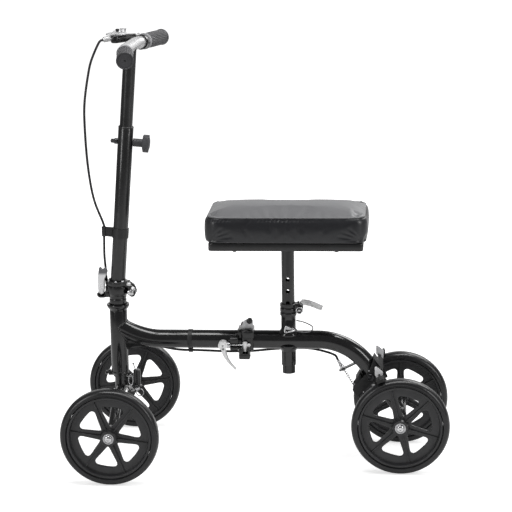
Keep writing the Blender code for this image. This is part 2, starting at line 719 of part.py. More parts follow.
def make_cushion():
    """A crowned pad: its side bulges, draws in to the seams, and its top is domed."""
    levels = [(0.0075, PAD_BOTTOM_Z), (0.0030, PAD_BOTTOM_Z + 0.0030),
              (0.0004, PAD_BOTTOM_Z + 0.0140), (0.0000, PAD_BOTTOM_Z + 0.0300),
              (0.0020, PAD_BOTTOM_Z + 0.0430), (0.0070, PAD_SEAM_Z),
              (0.0140, PAD_SEAM_Z + 0.0065), (0.0280, PAD_SEAM_Z + 0.0125),
              (0.0500, PAD_SEAM_Z + 0.0170), (0.0760, PAD_TOP_Z)]
    per_corner = 6
    bm = bmesh.new()
    rings = []
    for inset, z in levels:
        ring = [bm.verts.new((x, y, z)) for x, y in
                rounded_ring(inset, PAD_CORNER_R, per_corner)]
        rings.append(ring)
    count = len(rings[0])
    for low, high in zip(rings, rings[1:]):
        for k in range(count):
            n = (k + 1) % count
            bm.faces.new((low[k], low[n], high[n], high[k]))
    bm.faces.new(list(reversed(rings[0])))
    bm.faces.new(rings[-1])
    return finish(to_object(bm), "seat_cushion", "vinyl", (SEAT_X, 0, PAD_BOTTOM_Z), 60)


def make_lock_pin():
    """A short pin with a three-cornered wire pull on its outer end."""
    z = TOP_HOLE_Z - (HOLES - 1) * HOLE_PITCH
    shank = rod((SEAT_X, -0.0262, z), (SEAT_X, -POST_R - FIT, z), PIN_R, 12)
    outline = [(0.0525, 0.2925), (0.0505, 0.2728), (0.0545, 0.2712), (0.0745, 0.2795),
               (0.0750, 0.2825), (0.0565, 0.2940)]
    inner = [(0.0562, 0.2795), (0.0555, 0.2755), (0.0665, 0.2800)]
    head = side_plate(outline, -0.0262, -0.0236)
    cut(head, side_plate(inner, -0.03, -0.02))
    fuse(head, shank)
    return finish(head, "lock_pin", "chrome", (SEAT_X, -0.0240, z))


# Brake at the rear wheels

def from_shoe(dx, dz):
    """A point in XZ measured from the middle of the shoes' rubbing face."""
    reach = WHEEL_R + SHOE_GAP
    return (REAR_AXLE_X + reach * cos(SHOE_ANGLE) + dx, WHEEL_R + reach * sin(SHOE_ANGLE) + dz)


def cheek_outline():
    return [(0.1949, 0.1601), (0.2194, 0.1842), (0.2290, 0.1990), from_shoe(-0.0164, 0.0221),
            from_shoe(-0.0094, 0.0169), from_shoe(0.0034, -0.0040), (0.2651, 0.1670),
            (0.2560, 0.1640), (0.2400, 0.1715), (0.2300, 0.1628), (0.2043, 0.1369),
            (0.1916, 0.1508)]


def plate_on_line(start, end, thickness, y0, y1):
    """A flat plate whose edge is a line in XZ, as wide as y0 to y1."""
    dx = end[0] - start[0]
    dz = end[1] - start[1]
    length = hypot(dx, dz)
    nx = -dz / length * thickness / 2
    nz = dx / length * thickness / 2
    outline = [(start[0] + nx, start[1] + nz), (start[0] - nx, start[1] - nz),
               (end[0] - nx, end[1] - nz), (end[0] + nx, end[1] + nz)]
    return side_plate(outline, y0, y1)


def shoe_place(side):
    """Local +Z points from the wheel's axle out through the middle of the shoe."""
    centre = Matrix.Translation((REAR_AXLE_X, side * REAR_HALF_TRACK, WHEEL_R))
    return centre @ Matrix.Rotation(pi / 2 - SHOE_ANGLE, 4, "Y")


def make_yoke():
    """Two cheeks on the beam, the cross plate behind it and the arms to both tyres."""
    inner = CHEEK_INNER_Y
    outer = CHEEK_INNER_Y + CHEEK_T
    tabs = YOKE_TAB_Y + 0.0050
    ends = REAR_HALF_TRACK + 0.0110
    yoke = plate_on_line(from_shoe(-0.0155, 0.0232), from_shoe(0.0027, -0.0029), 0.0030, -tabs, tabs)
    arm = plate_on_line(from_shoe(-0.0153, 0.0229), from_shoe(-0.0052, 0.0084), 0.0028, -ends, ends)
    parts = [arm]
    for side in (-1, 1):
        low, high = sorted((side * inner, side * outer))
        parts.append(side_plate(cheek_outline(), low, high))
        holder_low = WHEEL_R + SHOE_GAP + SHOE_T + FIT
        parts.append(box(-0.0080, 0.0080, -0.0110, 0.0110, holder_low, holder_low + 0.0085,
                         place=shoe_place(side)))
        low, high = sorted((side * YOKE_TAB_Y, side * (YOKE_TAB_Y + 0.0028)))
        parts.append(side_plate([
            from_shoe(-0.0102, 0.0219), from_shoe(0.0040, 0.0105), from_shoe(0.0028, -0.0051),
            from_shoe(-0.0014, 0.0009), from_shoe(-0.0094, 0.0099)], low, high))
    parts.append(rod((ANCHOR_X + 0.0012, -inner - 0.001, ANCHOR_Z - 0.0018),
                     (ANCHOR_X + 0.0012, inner + 0.001, ANCHOR_Z - 0.0018), 0.0036, 12))
    parts.append(stop_block())
    fuse(yoke, *parts)
    cut(yoke, rod((YOKE_X, -0.03, YOKE_Z), (YOKE_X, 0.03, YOKE_Z), 0.0040 + FIT, 12))
    return finish(yoke, "brake_yoke", "black_steel", (YOKE_X, 0, YOKE_Z), 25)


def stop_block():
    """The stop block between the cheeks, in front of the beam."""
    outline = [(0.2064, 0.1860), (0.2136, 0.1740), (0.2030, 0.1602), (0.1990, 0.1580),
               (0.1975, 0.1707)]
    half = CHEEK_INNER_Y + 0.0005
    return side_plate(outline, -half, half)


def make_shoe(name, side):
    low = WHEEL_R + SHOE_GAP
    shoe = box(-0.0080, 0.0080, -0.0140, 0.0140, low, low + SHOE_T,
               place=shoe_place(side))
    return finish(shoe, name, "soft_black", (YOKE_X, 0, YOKE_Z), 25)


def make_brake_bolt():
    half = CHEEK_INNER_Y + CHEEK_T + FIT
    shank = rod((YOKE_X, -half - 0.001, YOKE_Z), (YOKE_X, half + 0.001, YOKE_Z), 0.0040, 12)
    head = rod((YOKE_X, -half - 0.0048, YOKE_Z), (YOKE_X, -half, YOKE_Z), 0.0072, 16)
    nut = rod((YOKE_X, half, YOKE_Z), (YOKE_X, half + 0.0055, YOKE_Z), 0.0070, 6)
    fuse(shank, head, nut)
    return finish(shank, "brake_pivot_bolt", "steel", (YOKE_X, 0, YOKE_Z))


def make_rear_adjuster():
    """The cable's ferrule and threaded adjuster, turned with a bore for the wire."""
    bore = WIRE_R + FIT
    outline = [(bore, -0.0215), (0.0033, -0.0215), (0.0033, -0.0120), (0.0046, -0.0110),
               (0.0046, -0.0035), (0.0030, -0.0030), (0.0030, 0.0045), (bore, 0.0045)]
    adjuster = turned(outline, 12, frame_along(wire_point(0), wire_direction()))
    return finish(adjuster, "cable_adjuster_rear", "steel")


def make_inner_wire():
    points = [wire_point(-0.0100), wire_point(0.0180), wire_point(0.0416)]
    return tube_along("brake_inner_wire", points, WIRE_R, "steel", 1)


def make_brake_spring():
    """The yoke's return spring: an open helix round the wire with straight ends."""
    start = 0.0026
    length = 0.0396
    per_turn = 8
    place = frame_along(wire_point(start), wire_direction())
    straight = 2 * SPRING_WIRE_R
    points = []
    steps = SPRING_TURNS * per_turn
    for i in range(steps + 1):
        angle = 2 * pi * i / per_turn
        points.append(Vector((SPRING_COIL_R * cos(angle), SPRING_COIL_R * sin(angle),
                              length * i / steps)))
    first = points[0] + (points[0] - points[1]).normalized() * straight
    last = points[-1] + (points[-1] - points[-2]).normalized() * straight
    points = [first] + points + [last]
    nearest = min((points[i] - points[j]).length
                  for i in range(len(points)) for j in range(i + per_turn // 2, len(points)))
    print("brake spring: least gap between curls", round(nearest - 2 * SPRING_WIRE_R, 5))
    return tube_along("brake_spring", [place @ p for p in points], SPRING_WIRE_R, "steel", 1)


# Front frame

def make_front_frame():
    """The front beam, curved up into the head tube, with a gusset under the joint."""
    route = [(SEAM_X - 0.0085, 0, BEAM_Z), (-0.2220, 0, BEAM_Z), (-0.2400, 0, 0.2560),
             (-0.2620, 0, 0.2645), (HEAD_X, 0, 0.2790)]
    frame = swept(route, [BEAM_R, BEAM_R, 0.0195, 0.0208, 0.0220], BEAM_SIDES)
    head = rod((HEAD_X, 0, HEAD_BOTTOM_Z), (HEAD_X, 0, HEAD_TOP_Z), HEAD_R, 18)
    gusset = side_plate([(HEAD_X + 0.0100, 0.2300), (HEAD_X + 0.0180, 0.2300),
                         (-0.2340, 0.2360), (-0.2340, 0.2500), (HEAD_X + 0.0100, 0.2600)],
                        -0.0040, 0.0040)
    fuse(frame, head, gusset)
    bore = rod((HEAD_X, 0, HEAD_BOTTOM_Z - 0.01), (HEAD_X, 0, HEAD_TOP_Z + 0.01),
               HEAD_BORE_R, 18)
    cut(frame, bore)
    return finish(frame, "front_frame", "gloss_black", (HEAD_X, 0, BEAM_Z))


def make_front_hinge_block():
    """The front half of the beam hinge, with the stub that the clamp bears on."""
    front = SEAM_X - 0.0082
    tab_end = -0.0406
    block = box(front, SEAM_X - FIT, -0.0195, 0.0235, 0.2345, BLOCK_TOP_Z, 0.0012)
    tab = box(front, tab_end, -0.0390, -0.0150, 0.2385, 0.2588)
    stub = box(-0.0585, tab_end - 0.0010, -0.0390, -0.0198, 0.2385, 0.2588)
    knuckle = rod((SEAM_X, HINGE_Y, 0.2463), (SEAM_X, HINGE_Y, 0.2617), KNUCKLE_R, 12)
    web = box(front + 0.0014, SEAM_X - FIT, 0.0200, HINGE_Y, 0.2467, 0.2613)
    fuse(block, tab, stub, knuckle, web)
    pin = rod((SEAM_X, HINGE_Y, 0.22), (SEAM_X, HINGE_Y, 0.29), HINGE_PIN_R + FIT, 12)
    passage = rod((-0.065, ROD_Y, ROD_Z), (-0.035, ROD_Y, ROD_Z), ROD_R + FIT, 12)
    cut(block, pin, passage)
    return finish(block, "front_hinge_block", "black_steel", (SEAM_X, HINGE_Y, BEAM_Z), 25)


def make_clamp_rod():
    """The beam clamp's rod with its washer, and a cross eye for the cam."""
    shank = rod((FRAME_CAM_X, ROD_Y, ROD_Z), (-0.0322, ROD_Y, ROD_Z), ROD_R, 12)
    washer = rod((FRAME_CAM_X + FRAME_CAM_R + FIT, ROD_Y, ROD_Z),
                 (-0.0585 - FIT, ROD_Y, ROD_Z), 0.0066, 12)
    eye = rod((FRAME_CAM_X, ROD_Y - 0.0075, ROD_Z), (FRAME_CAM_X, ROD_Y + 0.0075, ROD_Z),
              0.0036, 12)
    fuse(shank, washer, eye)
    return finish(shank, "hinge_clamp_rod", "chrome")


def make_clamp_lever():
    """The beam clamp's cam lever: its axis is level and its curved blade hangs down."""
    line = [(-0.0052, 0.0010), (-0.0190, 0.0040), (-0.0330, 0.0085), (-0.0450, 0.0160),
            (-0.0545, 0.0255)]
    blade = blade_plate(line, 0.0015, -0.0058, 0.0058)
    lever = cam_lever(0.0300, 0.0034, 0.0066, FRAME_CAM_R, 0.0036 + FIT, blade)
    place = Matrix(((0, 1, 0, FRAME_CAM_X), (0, 0, -1, ROD_Y), (1, 0, 0, ROD_Z),
                    (0, 0, 0, 1)))
    lever.matrix_world = place
    bpy.context.view_layer.update()
    return finish(lever, "hinge_clamp_lever", "chrome", (FRAME_CAM_X, ROD_Y, ROD_Z))


def make_headset_upper():
    bore = STEERER_R + 0.0004
    outline = [(bore, HEAD_TOP_Z + FIT), (0.0190, HEAD_TOP_Z + FIT), (0.0245, 0.3140),
               (0.0245, 0.3185), (0.0225, CUP_TOP_Z), (bore, CUP_TOP_Z)]
    cup = turned(outline, 16, Matrix.Translation((HEAD_X, 0, 0)))
    return finish(cup, "headset_upper", "black_steel", (HEAD_X, 0, HEAD_TOP_Z))


def make_headset_lower():
    """The lower cup with its flange, and the stop screw's boss at the front."""
    bore = STEERER_R + 0.0004
    top = HEAD_BOTTOM_Z - FIT
    outline = [(bore, 0.1720), (0.0140, 0.1720), (0.0150, 0.1780), (0.0170, 0.1790),
               (0.0170, top), (bore, top)]
    cup = turned(outline, 16, Matrix.Translation((HEAD_X, 0, 0)))
    boss = box(-0.3180, HEAD_X - 0.0130, -0.0055, 0.0055, 0.1745, top - 0.0004)
    screw = rod((-0.3262, 0, 0.1795), (-0.3100, 0, 0.1795), 0.0034, 8)
    nut = rod((-0.3235, 0, 0.1795), (-0.3185, 0, 0.1795), 0.0062, 6)
    fuse(cup, boss, screw, nut)
    return finish(cup, "headset_lower", "black_steel", (HEAD_X, 0, HEAD_BOTTOM_Z), 25)


# Fork and steering lock

def front_sleeve_end():
    return FRONT_HALF_TRACK - HUB_HALF_W - 0.0010


def make_fork():
    """Steerer, arched cross tube, sleeves at its ends and the lock's housing."""
    end = front_sleeve_end()
    half = [(0.0, 0.1470), (0.0300, 0.1455), (0.0650, 0.1370), (0.0980, 0.1230),
            (0.1270, 0.1075), (0.1450, 0.1010), (end - 0.0020, WHEEL_R)]
    shift = FRONT_AXLE_X - HEAD_X
    route = [(HEAD_X + shift * min(y / 0.10, 1.0), -y, z) for y, z in reversed(half)]
    route += [(HEAD_X + shift * min(y / 0.10, 1.0), y, z) for y, z in half[1:]]
    fork = swept(route, [FORK_LEG_R] * len(route), 12)
    steerer = rod((HEAD_X, 0, 0.1400), (HEAD_X, 0, 0.3420), STEERER_R, 16)
    plate = box(HEAD_X + 0.0080, HEAD_X + 0.0300, -0.0050, 0.0050, 0.1520, 0.1700)
    housing = rod((-0.2587, 0, 0.1475), (-0.2587, 0, 0.1800), 0.0069, 12)
    parts = [steerer, plate, housing]
    for side in (-1, 1):
        parts.append(rod((FRONT_AXLE_X, side * (end - 0.0260), WHEEL_R),
                         (FRONT_AXLE_X, side * end, WHEEL_R), 0.0122, 12))
    fuse(fork, *parts)
    cuts = [rod((-0.2587, 0, 0.1400), (-0.2587, 0, 0.1900), 0.0030 + FIT, 12)]
    for side in (-1, 1):
        cuts.append(rod((FRONT_AXLE_X, side * (end + 0.002), WHEEL_R),
                        (FRONT_AXLE_X, side * (end - 0.0230), WHEEL_R), BOLT_R + FIT, 10))
    cut(fork, *cuts)
    return finish(fork, "steering_fork", "gloss_black", (HEAD_X, 0, WHEEL_R))


def make_lock_plunger():
    """The steering lock's sprung pin, with a nut and a wire pull ring below."""
    x = -0.2587
    pin = rod((x, 0, 0.1410), (x, 0, 0.1832), 0.0030, 12)
    nut = rod((x, 0, 0.1425), (x, 0, 0.1472), 0.0055, 6)
    bm = bmesh.new()
    verts = []
    for k in range(6):
        angle = 2 * pi * k / 6
        verts.append(bm.verts.new((0.0055 + 0.0009 * cos(angle), 0, 0.0009 * sin(angle))))
    edges = [bm.edges.new((verts[k], verts[(k + 1) % 6])) for k in range(6)]
    bmesh.ops.spin(bm, geom=verts + edges, cent=(0, 0, 0), axis=(0, 0, 1), angle=2 * pi,
                   steps=12, use_merge=True)
    bm.transform(Matrix.Translation((x + 0.0046, 0, 0.1376)) @ Matrix.Rotation(pi / 2, 4, "X"))
    ring = to_object(bm)
    fuse(pin, nut, ring)
    return finish(pin, "steering_lock_plunger", "steel", (x, 0, 0.1640))


# Steering column

def column_frame():
    """Local +Z runs up the tilted column from its foot on the head's axis."""
    return Matrix.Translation((HEAD_X - 0.0004, 0, COLUMN_FOOT_Z)) @ Matrix.Rotation(
        COLUMN_TILT, 4, "Y")


def column_point(x, y, along):
    return column_frame() @ Vector((x, y, along))


def foot_outline(front, rear, radius):
    """The clamp plates' outline: a disc with a lug to the front and one to the rear."""
    points = arc(0, 0, radius, 25, 155, 6)
    points += [(front, 0.0095), (front, -0.0095)]
    points += arc(0, 0, radius, 205, 335, 6)
    points += [(rear, -0.0060), (rear, 0.0060)]
    return points


def make_column_base():
    """The neck on the steerer, the lower hinge plate, its knuckle and the front hook."""
    outline = [(STEERER_R + 0.0002, CUP_TOP_Z + FIT), (0.0185, CUP_TOP_Z + FIT + 0.0010),
               (0.0185, 0.3400), (0.0215, 0.3430), (0.0215, 0.3450),
               (STEERER_R + 0.0002, 0.3450)]
    base = turned(outline, 16, Matrix.Translation((HEAD_X, 0, 0)))
    plate = prism(foot_outline(-0.0265, 0.0255, 0.0235), 0.3428, 0.3556,
                  Matrix.Translation((HEAD_X, 0, 0)))
    knuckle = rod((FOLD_X, -0.0060, FOLD_Z), (FOLD_X, 0.0060, FOLD_Z), 0.0072, 14)
    fuse(base, plate, knuckle)
    gaps = [box(LATCH_X - 0.0070, LATCH_X + 0.0052, -0.0068, 0.0068, 0.3380, 0.3600)]
    for side in (-1, 1):
        low, high = sorted((side * 0.0061, side * 0.0200))
        gaps.append(box(FOLD_X - 0.0086, FOLD_X + 0.0100, low, high, 0.3400, 0.3640))
    cut(base, *gaps)
    ears = []
    for side in (-1, 1):
        low, high = sorted((side * 0.0070, side * 0.0098))
        ears.append(side_plate([(-0.3140, 0.3440), (-0.3140, 0.3550), (-0.3270, 0.3550),
                                (-0.3270, 0.3490), (-0.3225, 0.3440)], low, high))
    hook = side_plate([(-0.3170, 0.3445), (-0.3170, 0.3428), (-0.3290, 0.3428),
                       (-0.3335, 0.3465), (-0.3345, 0.3515), (-0.3320, 0.3520),
                       (-0.3300, 0.3475), (-0.3280, 0.3455)], -0.0098, 0.0098)
    fuse(base, hook, *ears)
    pins = [rod((FOLD_X, -0.02, FOLD_Z), (FOLD_X, 0.02, FOLD_Z), 0.0030 + FIT, 12),
            rod((LATCH_X, -0.02, LATCH_Z), (LATCH_X, 0.02, LATCH_Z), 0.0018 + FIT, 12)]
    cut(base, *pins)
    return finish(base, "column_base", "black_steel", (HEAD_X, 0, FOLD_Z), 25)


def make_fold_pin():
    shank = rod((FOLD_X, -0.0150, FOLD_Z), (FOLD_X, 0.0150, FOLD_Z), 0.0030, 12)
    head = rod((FOLD_X, -0.0190, FOLD_Z), (FOLD_X, -0.0143, FOLD_Z), 0.0070, 12)
    nut = rod((FOLD_X, 0.0143, FOLD_Z), (FOLD_X, 0.0190, FOLD_Z), 0.0068, 6)
    fuse(shank, head, nut)
    return finish(shank, "column_fold_pin", "chrome", (FOLD_X, 0, FOLD_Z))


def make_latch_lever():
    """The column's latch lever: it stands up in front and swings forward and down."""
    outline = [(-0.3260, 0.3495), (-0.3205, 0.3498), (-0.3200, 0.3560), (-0.3225, 0.3700),
               (-0.3235, 0.3860), (-0.3190, 0.4037), (-0.3225, 0.4045), (-0.3275, 0.3930),
               (-0.3285, 0.3790), (-0.3275, 0.3620)]
    lever = side_plate(outline, -0.0064, 0.0064)
    pin = rod((LATCH_X, -0.0094, LATCH_Z), (LATCH_X, 0.0094, LATCH_Z), 0.0018, 12)
    fuse(lever, pin)
    return finish(lever, "column_latch_lever", "silver", (LATCH_X, 0, LATCH_Z))


def make_column_lower():
    """The lower column tube with its hinge plate, knuckles and knob boss."""
    place = column_frame()
    tube = rod(column_point(0, 0, 0.0035), column_point(0, 0, LOWER_LENGTH), LOWER_R, 18)
    plate = prism(foot_outline(-0.0240, 0.0270, 0.0225), 0.3560, 0.3680,
                  Matrix.Translation((HEAD_X, 0, 0)))
    knuckles = rod((FOLD_X, -0.0140, FOLD_Z), (FOLD_X, 0.0140, FOLD_Z), 0.0072, 14)
    leaf = side_plate([(FOLD_X - 0.0060, 0.3565), (FOLD_X + 0.0060, 0.3565),
                       (FOLD_X - 0.0010, 0.3690), (-0.2700, 0.3760), (-0.2790, 0.3760),
                       (-0.2800, 0.3610)], -0.0134, 0.0134)
    fuse(tube, plate, leaf, knuckles)
    notch = box(-0.2700, -0.2500, -0.0064, 0.0064, 0.3400, 0.3608)
    bore = rod(column_point(0, 0, 0.0100), column_point(0, 0, LOWER_LENGTH + 0.01),
               LOWER_BORE_R, 18)
    stud = rod(column_point(0, 0, KNOB_AT), column_point(0.02, 0, KNOB_AT), 0.0040 + FIT, 12)
    pin = rod((FOLD_X, -0.02, FOLD_Z), (FOLD_X, 0.02, FOLD_Z), 0.0030 + FIT, 12)
    cut(tube, notch, bore, stud, pin)
    fuse(tube, mouth_bush(), guide_screw())
    return finish(tube, "column_lower", "satin_black", (FOLD_X, 0, FOLD_Z))


def mouth_bush():
    """The bush in the lower tube's mouth, with a rim on top."""
    bury = 0.0004
    outline = [(UPPER_R + FIT, KNOB_AT + 0.0070), (LOWER_BORE_R + bury, KNOB_AT + 0.0070),
               (LOWER_BORE_R + bury, LOWER_LENGTH - bury), (LOWER_R + 0.0002, LOWER_LENGTH - bury),
               (LOWER_R + 0.0002, LOWER_LENGTH + 0.0030), (UPPER_R + FIT, LOWER_LENGTH + 0.0040)]
    return turned(outline, 18, column_frame())


def guide_screw():
    """The screw whose end runs in the upper tube's slot, with its domed nut."""
    forward = column_frame().to_3x3() @ Vector((-1, 0, 0))
    place = frame_along(column_point(0, 0, KNOB_AT), forward)
    outline = [(0.0, 0.0120), (0.0022, 0.0120), (0.0022, LOWER_R - 0.0006),
               (0.0060, LOWER_R - 0.0006), (0.0060, 0.0215), (0.0045, 0.0225),
               (0.0040, 0.0290), (0.0, 0.0305)]
    return turned(outline, 10, place)


def make_knob():
    """The height knob: a short stud, a round stem and a five-lobed head."""
    axis = column_frame().to_3x3() @ Vector((1, 0, 0))
    place = frame_along(column_point(0, 0, KNOB_AT), axis)
    outline = [(0.0, UPPER_R + FIT), (0.0040, UPPER_R + FIT), (0.0040, LOWER_R + 0.0010),
               (0.0085, LOWER_R + 0.0010), (0.0085, 0.0380), (0.0, 0.0380)]
    knob = turned(outline, 12, place)
    lobes = 5
    points = []
    for k in range(lobes * 4):
        angle = 2 * pi * k / (lobes * 4)
        radius = 0.0178 + 0.0012 * cos(lobes * angle)
        points.append((radius * cos(angle), radius * sin(angle)))
    head = prism(points, 0.0368, 0.0480, place)
    dome = turned([(0.0, 0.0470), (0.0160, 0.0470), (0.0160, 0.0482), (0.0100, 0.0500),
                   (0.0, 0.0506)], 15, place)
    fuse(knob, head, dome)
    return finish(knob, "column_knob", "grip_rubber", column_point(0.03, 0, KNOB_AT), 30)


def make_cable_clip():
    """A strap round the column, with a loop at the front for the cable."""
    low = CLIP_AT - 0.0100
    high = CLIP_AT + 0.0100
    band = rod(column_point(0, 0, low), column_point(0, 0, high), LOWER_R + 0.0018, 20)
    cable = column_point(-0.0345, 0, CLIP_AT)
    neck = box(-0.0330, -0.0100, -0.0016, 0.0016, low, high, place=column_frame())
    loop = rod(cable - Vector((0, 0, 0.0100)), cable + Vector((0, 0, 0.0100)), 0.0045, 14)
    fuse(band, neck, loop)
    bore = rod(column_point(0, 0, low - 0.01), column_point(0, 0, high + 0.01),
               LOWER_R + FIT, 20)
    hole = rod(cable - Vector((0, 0, 0.02)), cable + Vector((0, 0, 0.02)), CABLE_R + FIT, 12)
    cut(band, bore, hole)
    return finish(band, "cable_clip", "soft_black")


def make_upper_column():
    """The upper tube, slotted at the front, with a saddle for the handlebar."""
    top = (BAR_Z - COLUMN_FOOT_Z) / cos(COLUMN_TILT)
    tube = rod(column_point(0, 0, UPPER_START), column_point(0, 0, top - 0.0030), UPPER_R, 20)
    bore = rod(column_point(0, 0, UPPER_START - 0.01), column_point(0, 0, top - 0.0200),
               UPPER_BORE_R, 20)
    slot = box(-0.0200, -0.0050, -0.0030, 0.0030, KNOB_AT - 0.1540, KNOB_AT + 0.0740,
               place=column_frame())
    saddle = rod(bar_point(0, -0.05, 0), bar_point(0, 0.05, 0), BAR_R + FIT, 20)
    cut(tube, bore, slot, saddle)
    return finish(tube, "column_upper", "satin_black", column_point(0, 0, UPPER_START))


# Handlebar

def bar_frame():
    """Local axes of the handlebar: its centre on the column's axis, turned a little."""
    x = HEAD_X - 0.0004 + (BAR_Z - COLUMN_FOOT_Z) * tan(COLUMN_TILT)
    return Matrix.Translation((x, 0, BAR_Z)) @ Matrix.Rotation(-BAR_TURN, 4, "Z")


def bar_point(x, y, z):
    return bar_frame() @ Vector((x, y, z))


def bar_line(y):
    """The bar's centre line: straight in the middle, then swept back to both ends."""
    past = max(abs(y) - BAR_BEND_Y, 0.0)
    blend = 0.012
    if past < blend:
        return tan(BAR_SWEEP) * past * past / (2 * blend)
    return tan(BAR_SWEEP) * (past - blend / 2)


def grip_frame(side):
    """Local +Z runs outward along the swept end of the bar from its middle plane."""
    start = Vector((bar_line(GRIP_START), side * GRIP_START, 0))
    end = Vector((bar_line(BAR_HALF), side * BAR_HALF, 0))
    along = (end - start).normalized()
    origin = start - along * (GRIP_START / cos(BAR_SWEEP))
    return bar_frame() @ frame_along(origin, along)


def make_handlebar():
    half = [0.0, 0.046, 0.054, 0.062, GRIP_START - 0.0010, GRIP_START + 0.0015, BAR_HALF]
    ys = [-y for y in reversed(half)] + half[1:]
    radii = [BAR_END_R if abs(y) > GRIP_START else BAR_R for y in ys]
    bar = swept([bar_point(bar_line(y), y, 0) for y in ys], radii, 16)
    return finish(bar, "handlebar", "silver", bar_point(0, 0, 0), 25)


def make_grip(name, side):
    """A closed rubber grip with a collar at its inner end."""
    bore = BAR_END_R + FIT
    scale = 1 / cos(BAR_SWEEP)
    start = (GRIP_START + 0.0025) * scale
    inside = (BAR_HALF + 0.0005) * scale
    end = (GRIP_END + 0.0005) * scale
    outline = [(0.0, inside), (bore, inside), (bore, start), (GRIP_R + 0.0006, start),
               (GRIP_R + 0.0006, start + 0.0060), (GRIP_R - 0.0008, start + 0.0072),
               (GRIP_R, start + 0.0400), (GRIP_R, end - 0.0025), (GRIP_R - 0.0022, end),
               (0.0, end)]
    grip = turned(outline, 14, grip_frame(side))
    return finish(grip, name, "grip_rubber", sharp=40)


def barrel_end():
    return bar_point(-0.0620, LEVER_Y - 0.0270, 0.0020)


def adjuster_tip():
    """Where the brake cable enters the adjuster at the perch."""
    return bar_point(-0.0645, LEVER_Y - 0.0317, 0.0010)


def by_lever(outline):
    """Points of the bar's plan, given from its centre in x and from the lever's pivot in y."""
    return [(x, LEVER_Y + y) for x, y in outline]


def make_lever_perch():
    """The lever's clamp band and body, with the cable adjuster at its front."""
    place = grip_frame(1)
    scale = 1 / cos(BAR_SWEEP)
    low = (GRIP_START - 0.0135) * scale
    high = (GRIP_START - 0.0030) * scale
    band = turned([(BAR_R + FIT, low), (0.0158, low), (0.0158, high), (BAR_R + FIT, high)],
                  16, place)
    body = prism(by_lever([(-0.0050, 0.0212), (-0.0050, 0.0313), (-0.0360, 0.0295),
                           (-0.0560, 0.0120), (-0.0600, -0.0100), (-0.0520, -0.0200),
                           (-0.0400, -0.0170), (-0.0300, 0.0020)]), -0.0030, 0.0122, bar_frame())
    barrel = rod(bar_point(-0.0540, LEVER_Y - 0.0120, 0.0050), barrel_end(), 0.0050, 12)
    tip = rod(barrel_end(), adjuster_tip(), 0.0032, 12)
    post = rod(bar_point(LEVER_X, LEVER_Y, 0.0100), bar_point(LEVER_X, LEVER_Y, 0.0172),
               0.0030, 12)
    cap = rod(bar_point(LEVER_X, LEVER_Y, 0.0169), bar_point(LEVER_X, LEVER_Y, 0.0208),
              0.0050, 12)
    fuse(body, band, barrel, tip, post, cap)
    cut(body, rod(place @ Vector((0, 0, 0.0650)), place @ Vector((0, 0, 0.1150)), BAR_R + FIT, 16))
    return finish(body, "brake_lever_perch", "soft_black", sharp=30)


def make_brake_lever():
    """The lever lies on the perch and its blade runs out in front of the grip."""
    front = by_lever([(-0.0600, -0.0120), (-0.0595, 0.0100), (-0.0520, 0.0350),
                      (-0.0410, 0.0700), (-0.0350, 0.1100), (-0.0335, 0.1250)])
    rear = by_lever([(-0.0290, 0.1295), (-0.0240, 0.1260), (-0.0265, 0.1100),
                     (-0.0310, 0.0700), (-0.0400, 0.0350), (-0.0385, 0.0200),
                     (-0.0345, 0.0040), (-0.0360, -0.0070), (-0.0480, -0.0160)])
    lever = prism(front + rear, 0.0125, 0.0166, bar_frame())
    blade = [p for p in front + rear if p[1] > LEVER_Y + 0.0340]
    fuse(lever, prism(blade, 0.0040, 0.0150, bar_frame()))
    cut(lever,
        rod(bar_point(LEVER_X, LEVER_Y, 0.0), bar_point(LEVER_X, LEVER_Y, 0.03),
            0.0030 + FIT, 12),
        rod(bar_point(-0.0480, BUTTON_Y, 0.0), bar_point(-0.0480, BUTTON_Y, 0.03), 0.0024, 12))
    return finish(lever, "brake_lever", "silver", bar_point(LEVER_X, LEVER_Y, 0.0145), 30)


def make_park_button():
    """The parking button: a round head on a short stem in the lever."""
    place = bar_frame() @ Matrix.Translation((-0.0480, BUTTON_Y, 0))
    outline = [(0.0, 0.0158), (0.0020, 0.0158), (0.0020, 0.0200), (0.0042, 0.0204),
               (0.0042, 0.0250), (0.0030, 0.0262), (0.0, 0.0262)]
    button = turned(outline, 12, place)
    return finish(button, "parking_button", "soft_black", place @ Vector((0, 0, 0.02)))


# Brake cable, in lengths that end at its clips

